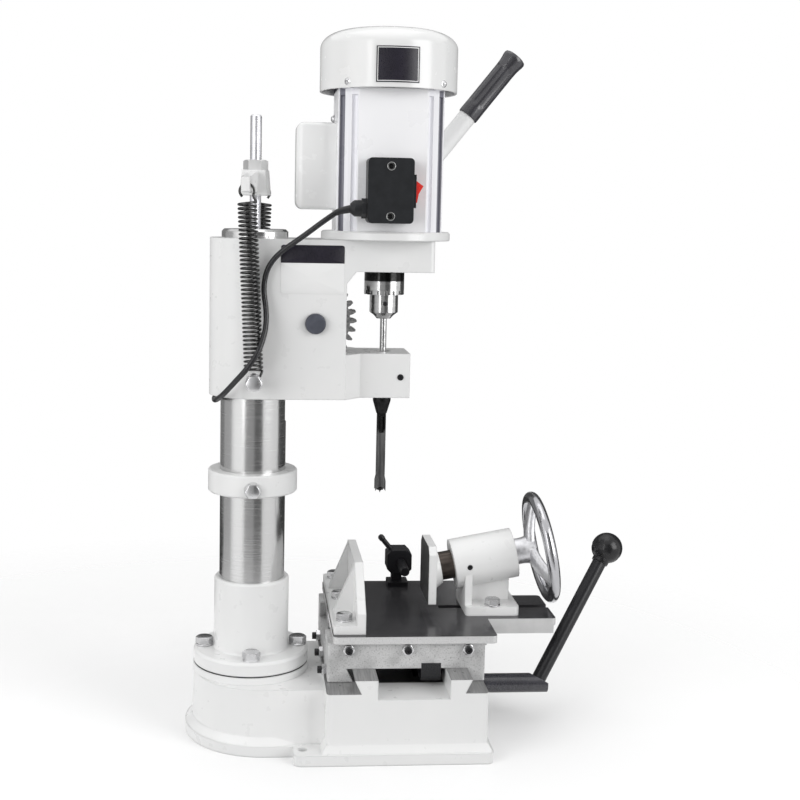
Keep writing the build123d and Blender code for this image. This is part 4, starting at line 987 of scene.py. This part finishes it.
# Bare plate on the head, white below and dark above
def make_head_plate():
    low, seam, high = HEAD_PLATE_Z
    at = (0, HEAD_PLATE_Y, 0)
    below = (PLATE_ROUND, PLATE_ROUND, PLATE_SHARP, PLATE_SHARP)
    lower = rounded_plate(*HEAD_PLATE_X, low, seam, HEAD_PLATE_T, below)
    upper = rounded_plate(*HEAD_PLATE_X, seam + HEAD_PLATE_SEAM, high, HEAD_PLATE_T, below[::-1])
    add_piece("head_plate_low", moved(lower, at), "plate_white", "head")
    add_piece("head_plate_high", moved(upper, at), "plate_dark", "head")


# Small screws and ends
def make_switch_screws():
    eyelet = lathe([(3.9, 0), (5.0, 0), (4.9, 0.3), (4.5, 0.5), (4.0, 0.2)], 32, True)
    # Painted shade: dark domes inside the screws' key sockets.
    key = lathe([(0, 0), (2.9, 0), (2.9, 0.5), (1.6, 1.0), (0, 0.6)], 24)

    def pair(shape, y):
        return [moved(shape, (SWITCH_X, y, z), (0, -1, 0)) for z in SWITCH_Z]

    rims = pair(socket_screw(*SWITCH_SCREW), SWITCH_SEAT_Y) + pair(eyelet, SWITCH_FACE_Y)
    add_piece("switch_screws", joined(rims), "gear", "head")
    add_piece("switch_socket_shades", joined(pair(key, SWITCH_SHADE_Y)), "oxide", "head")


def vise_axis():
    """Direction of the vise screw toward its wheel."""
    tilt = math.radians(VISE_TILT)
    return Vector((math.cos(tilt), 0, math.sin(tilt)))


def make_small_ends():
    disc = lathe([(0, 0), (11.6, 0), (11.6, 0.7), (10.9, 1.4), (0, 1.5)], 48)
    # Painted shade: a dark disc inside the socket for the chuck key.
    socket_shade_disc = lathe([(0, 0), (2.95, 0), (2.95, 0.4), (2.4, 0.7), (0, 0.5)], 24)
    feed_end = (FEED_PIVOT[0], FEED_END_Y, FEED_PIVOT[2])
    # Black grub screw in the vise body; its black also paints the shade inside its bore.
    grub = Vector(VISE_START) + vise_axis() * GRUB_SCREW_S - Vector((0, GRUB_SCREW_OUT, 0))
    for name, shape, place, finish, body in (
            ("nose_screw", socket_screw(*NOSE_SCREW), NOSE_SCREW_AT, "oxide", "head"),
            ("feed_shaft_end", disc, feed_end, "feed_end", "feed"),
            ("chuck_key_shade_disc", socket_shade_disc, KEY_HOLE_AT, "oxide", "spindle"),
            ("vise_grub_screw", socket_screw(*GRUB_SCREW), grub, "oxide", "table_top")):
        add_piece(name, moved(shape, place, (0, -1, 0)), finish, body)


def make_gib_screws():
    spots = [((x, *TABLE_GIB_YZ), (0, -1, 0), TABLE_GIB_OUT) for x in TABLE_GIB_X]
    spots += [((SADDLE_GIB_XZ[0], y, SADDLE_GIB_XZ[1]), (-1, 0, 0), SADDLE_GIB_OUT) for y in SADDLE_GIB_Y]
    nuts, studs = [], []
    for place, way, out in spots:
        nuts.append(moved(hexagon(*GIB_NUT), place, way, HEX_SPIN))
        studs.append(moved(socket_screw(GIB_STUD_R, out, *GIB_SOCKET), place, way))
    add_piece("gib_nuts", joined(nuts), "zinc", "saddle_slide", "gib_screws")
    add_piece("gib_studs", joined(studs), "oxide", "saddle_slide")


# Bolts and nuts
def standing_bolt(place, ring, head):
    """Washer on a place, and a hexagon head on the washer."""
    top = Vector(place) + Vector((0, 0, ring[2]))
    return [moved(washer(*ring), place), moved(hexagon(*head), top, spin=HEX_SPIN)]


def make_bolts():
    flange, table = [], []
    for x, y in ((1, 0), (0, 1), (-1, 0), (0, -1)):
        flange += standing_bolt((x * FLANGE_BOLT_R, y * FLANGE_BOLT_R, FLANGE_Z), M12_WASHER, M12_HEAD)
    for seat in JAW_BOLTS + VISE_BOLTS:
        table += standing_bolt(seat, M10_WASHER, M10_HEAD)
    add_piece("flange_bolt_heads", joined(flange), "zinc", "base", "flange_bolts")
    add_piece("table_bolt_heads", joined(table), "zinc", "table_top", "table_bolts")


def make_spring_anchors():
    face, ring, head = ANCHOR_Y
    pin = lathe([(0, 0), (ANCHOR_PIN_R, 0), (ANCHOR_PIN_R, head - face), (0, head - face)], 24)
    parts = [(washer(*ANCHOR_COLLAR), face, 0), (washer(*ANCHOR_WASHER), ring, 0), (pin, face, 0),
             (hexagon(*M10_HEAD), head, HEX_SPIN)]
    anchors = [moved(shape, (0, side * out, ANCHOR_Z), (0, side, 0), spin)
               for side in (-1, 1) for shape, out, spin in parts]
    add_piece("spring_anchor_bolts", joined(anchors), "zinc", "head", "spring_anchors")


def make_single_nuts():
    nut = hexagon(*HANGER_NUT, ROD_R + HANGER_NUT_PLAY)
    nut = moved(nut, (0, 0, HANGER_NUT_Z), spin=HANGER_NUT_SPIN)
    add_piece("hanger_nut_turned", nut, "nut", "base", "hanger_nut")
    clamp = moved(hexagon(*COLLAR_HEAD), COLLAR_BOLT_AT, (0, -1, 0), HEX_SPIN)
    add_piece("collar_bolt_head", clamp, "zinc", "depth_collar", "collar_bolt")


# Capacitor box
def make_capacitor():
    x0, x1 = CAP_X
    z0, z1 = CAP_Z
    z_mid = (z0 + z1) / 2
    turns = [math.pi / 2 * k / 8 for k in range(9)]
    steps = [(x1 - x0, 0.0)] + [(CAP_ROUND * (1 - math.sin(a)), CAP_ROUND * (1 - math.cos(a))) for a in turns]
    rows = [[(x1, 0, z_mid)]]
    for deep, inset in steps:
        half = CAP_HALF - inset
        outline = rounded_outline(-half, half, z0 + inset, z1 - inset, [CAP_CORNER] * 4)
        rows.append([(x0 + deep, y, z) for y, z in outline])
    rows.append([(x0, 0, z_mid)])
    add_piece("capacitor_box_round", skin(rows), "cap", "head", "capacitor_box")


# Threaded rod
def make_rod():
    steps = 24
    low, high = ROD_Z
    rise = THREAD_PITCH / THREAD_ROWS
    rows = [[(0, 0, low)]]
    for k in range(int((high - ROD_CHAMFER[1] - low) / rise) + 1):
        z = low + k * rise
        row = []
        for n, a in enumerate(angles(steps)):
            phase = (z / THREAD_PITCH - n / steps) % 1.0
            r = ROD_R - THREAD_DEPTH * abs(2 * phase - 1)
            row.append((r * math.cos(a), r * math.sin(a), z))
        rows.append(row)
    rows += [circle(ROD_R - ROD_CHAMFER[0], high, steps), [(0, 0, high)]]
    add_piece("spring_rod_thread", skin(rows), "rod", "base", "spring_rod", 60.0)


# Handwheel: polished rim, satin hub and spokes
def wheel_spoke():
    """Flattened bar that leans from the hub out to the rim."""
    rows = [[(0, *SPOKE_PATH[0][:2])]]
    for r, s, wide, thick in SPOKE_PATH:
        row = []
        for a in angles(20):
            x = wide * math.copysign(abs(math.cos(a)) ** SPOKE_SQUARE, math.cos(a))
            y = thick * math.copysign(abs(math.sin(a)) ** SPOKE_SQUARE, math.sin(a))
            row.append((x, r - y * SPOKE_LEAN[0], s + y * SPOKE_LEAN[1]))
        rows.append(row)
    rows.append([(0, *SPOKE_PATH[-1][:2])])
    return skin(rows)


def make_wheel():
    section = [(WHEEL_R + RIM_R * math.cos(a), WHEEL_S + RIM_R * math.sin(a)) for a in angles(20)]
    rim = lathe(section, 96, True)
    hub = lathe([(HUB_BORE, HUB_SIDE[0][1]), *HUB_SIDE, (HUB_BORE, HUB_SIDE[-1][1])], 64, True)
    spoke = wheel_spoke()
    spokes = [moved(spoke, (0, 0, 0), spin=360 / SPOKES * k) for k in range(SPOKES)]
    along = vise_axis()
    axes = Matrix(((0, 1, 0), (-along.z, 0, along.x), along)).transposed()
    for name, shape, finish, node in (("handwheel_round", rim, "chrome", "handwheel"),
                                      ("handwheel_spokes", joined([hub, *spokes]), "satin", None)):
        points = [Vector(VISE_START) + axes @ p for p in shape[0]]
        add_piece(name, (points, shape[1]), finish, "vise_wheel", node, 40.0)


# Ball on the side lever
def make_ball():
    neck_r, neck = BALL_NECK
    bore_r, bore_end = BALL_BORE
    seam_at, seam_half, seam_deep = BALL_SEAM
    edge = 0.4
    profile = [(bore_r, neck), (neck_r - edge, neck), (neck_r, neck + edge)]
    first = -math.acos(neck_r / BALL_R)
    for k in range(24):
        a = first + (math.pi / 2 - first) * k / 24
        r = BALL_R - (seam_deep if abs(math.degrees(a) - seam_at) < seam_half else 0.0)
        profile.append((r * math.cos(a), r * math.sin(a)))
    profile += [(0, BALL_R), (0, bore_end), (bore_r, bore_end)]
    way = Vector(LEVER_DIR).normalized()
    ball = moved(lathe(profile, 64, True), Vector(LEVER_KNEE) + way * LEVER_LENGTH, way)
    add_piece("ball_knob_round", ball, "gloss", "side_lever", "ball_knob", 50.0)


make_cover()
make_cover_screws()
make_cover_plate()
make_grip()
make_head_plate()
make_switch_screws()
make_small_ends()
make_gib_screws()
make_bolts()
make_spring_anchors()
make_single_nuts()
make_capacitor()
make_rod()
make_wheel()
make_ball()


# Cord and springs
def nurbs(name, points):
    """Curve with one smooth spline whose control points are given."""
    curve = bpy.data.curves.new(name, "CURVE")
    curve.dimensions = "3D"
    curve.resolution_u = 6
    spline = curve.splines.new("NURBS")
    spline.points.add(len(points) - 1)
    for point, place in zip(spline.points, points):
        point.co = (*place, 1)
    spline.order_u = 3
    spline.use_endpoint_u = True
    return curve


def curve_mesh(name, curve):
    holder = bpy.data.objects.new(name, curve)
    mesh = bpy.data.meshes.new_from_object(holder)
    bpy.data.objects.remove(holder)
    mesh.name = name
    return mesh


def tube(name, points, diameter, finish, rounding):
    """Round tube along a smooth line, closed at its ends; rounding adds sides."""
    curve = nurbs(name, points)
    curve.bevel_depth = diameter / 2 * MM
    curve.bevel_resolution = rounding
    curve.use_fill_caps = True
    mesh = curve_mesh(name, curve)
    mesh.shade_smooth()
    return add_object(name, mesh, finish)


def coil_points():
    """Turns of the put-away cord, wound in on one layer and out on the next."""
    aim = math.radians(COIL_AIM)
    ahead = Vector((math.cos(aim), math.sin(aim), 0))
    across = Vector((-math.sin(aim), math.cos(aim), 0))
    radii = [COIL_R - COIL_STEP / 2 * k for k in range(COIL_HALVES)]
    radii += radii[-2:0:-1]
    at = Vector(COIL_START)
    points = [at.copy()]
    for k, r in enumerate(radii):
        side = 1 if k % 2 == 0 else -1
        climb = COIL_STEP if k == COIL_HALVES - 1 else 0.0
        centre = at + across * (r * side)
        for part in range(1, COIL_PARTS + 1):
            a = math.pi * part / COIL_PARTS
            points.append(centre + ahead * (r * math.sin(a) * side) - across * (r * math.cos(a) * side)
                          + Vector((0, 0, climb * part / COIL_PARTS)))
        at = points[-1]
    return points + [at + ahead * TAIL * 0.5, at + ahead * TAIL]


def make_boot(line):
    """Tapered sleeve that holds the cord where it leaves the gland."""
    rows, run = [], 0.0
    for a, b in zip(line, line[1:]):
        run += (b - a).length / MM
        if not BOOT[0] <= run <= BOOT[1]:
            continue
        share = (run - BOOT[0]) / (BOOT[1] - BOOT[0])
        r = BOOT_R[0] + (BOOT_R[1] - BOOT_R[0]) * share
        turn = (b - a).to_track_quat("Z", "Y").to_matrix()
        rows.append([(a + b) / 2 / MM + turn @ Vector(p) for p in circle(r, 0, 24)])
    sleeve = skin([[middle(rows[0])], *rows, [middle(rows[-1])]])
    return add_piece("cord_boot", sleeve, "rubber", "head")


def make_cord():
    route = [mm(*p) for p in LEAD_ROUTE + DROP_ROUTE] + [p * MM for p in coil_points()]
    line = [v.co.copy() for v in curve_mesh("route", nurbs("route", route)).vertices]
    cord = tube("power_cord", route, CORD_D, "cord", rounding=5)
    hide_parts("power_cord_lead", "power_cord_drop", "power_cord_coil")
    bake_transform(cord)
    make_boot(line)


def spring_hook(start, height):
    turns = [math.radians(start + HOOK_SWEEP * k / HOOK_STEPS) for k in range(HOOK_STEPS + 1)]
    return [(HOOK_R * math.cos(a), 0, height + HOOK_R * math.sin(a)) for a in turns]


def spring_line():
    """Near spring from its lower hook to its upper one: hook, coils, hook."""
    turn = math.radians(HANGER_TURN)
    bottom = Vector((0, -SPRING_Y, ANCHOR_Z))
    top = Vector((-SPRING_Y * math.sin(turn), -SPRING_Y * math.cos(turn), HOOK_Z))
    lean = Vector((0, 0, 1)).rotation_difference(top - bottom).to_matrix()
    length = (top - bottom).length
    low, high = HOOK_R + HOOK_NECK, length - HOOK_R - HOOK_NECK
    points = spring_hook(HOOK_STARTS[0], 0)
    steps = SPRING_TURNS * SPRING_STEPS
    for k in range(steps + 1):
        a = 2 * math.pi * k / SPRING_STEPS
        points.append((SPRING_R * math.cos(a), SPRING_R * math.sin(a), low + (high - low) * k / steps))
    points += spring_hook(HOOK_STARTS[1], length)
    return [(bottom + lean @ Vector(p)) * MM for p in points]


def make_springs():
    near = spring_line()
    for name, line in (("near_spring", near), ("far_spring", [Vector((-p.x, -p.y, p.z)) for p in near])):
        spring = tube(name + "_round", line, SPRING_WIRE, "spring", rounding=2)
        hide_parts(name)
        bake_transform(spring)


make_cord()
make_springs()
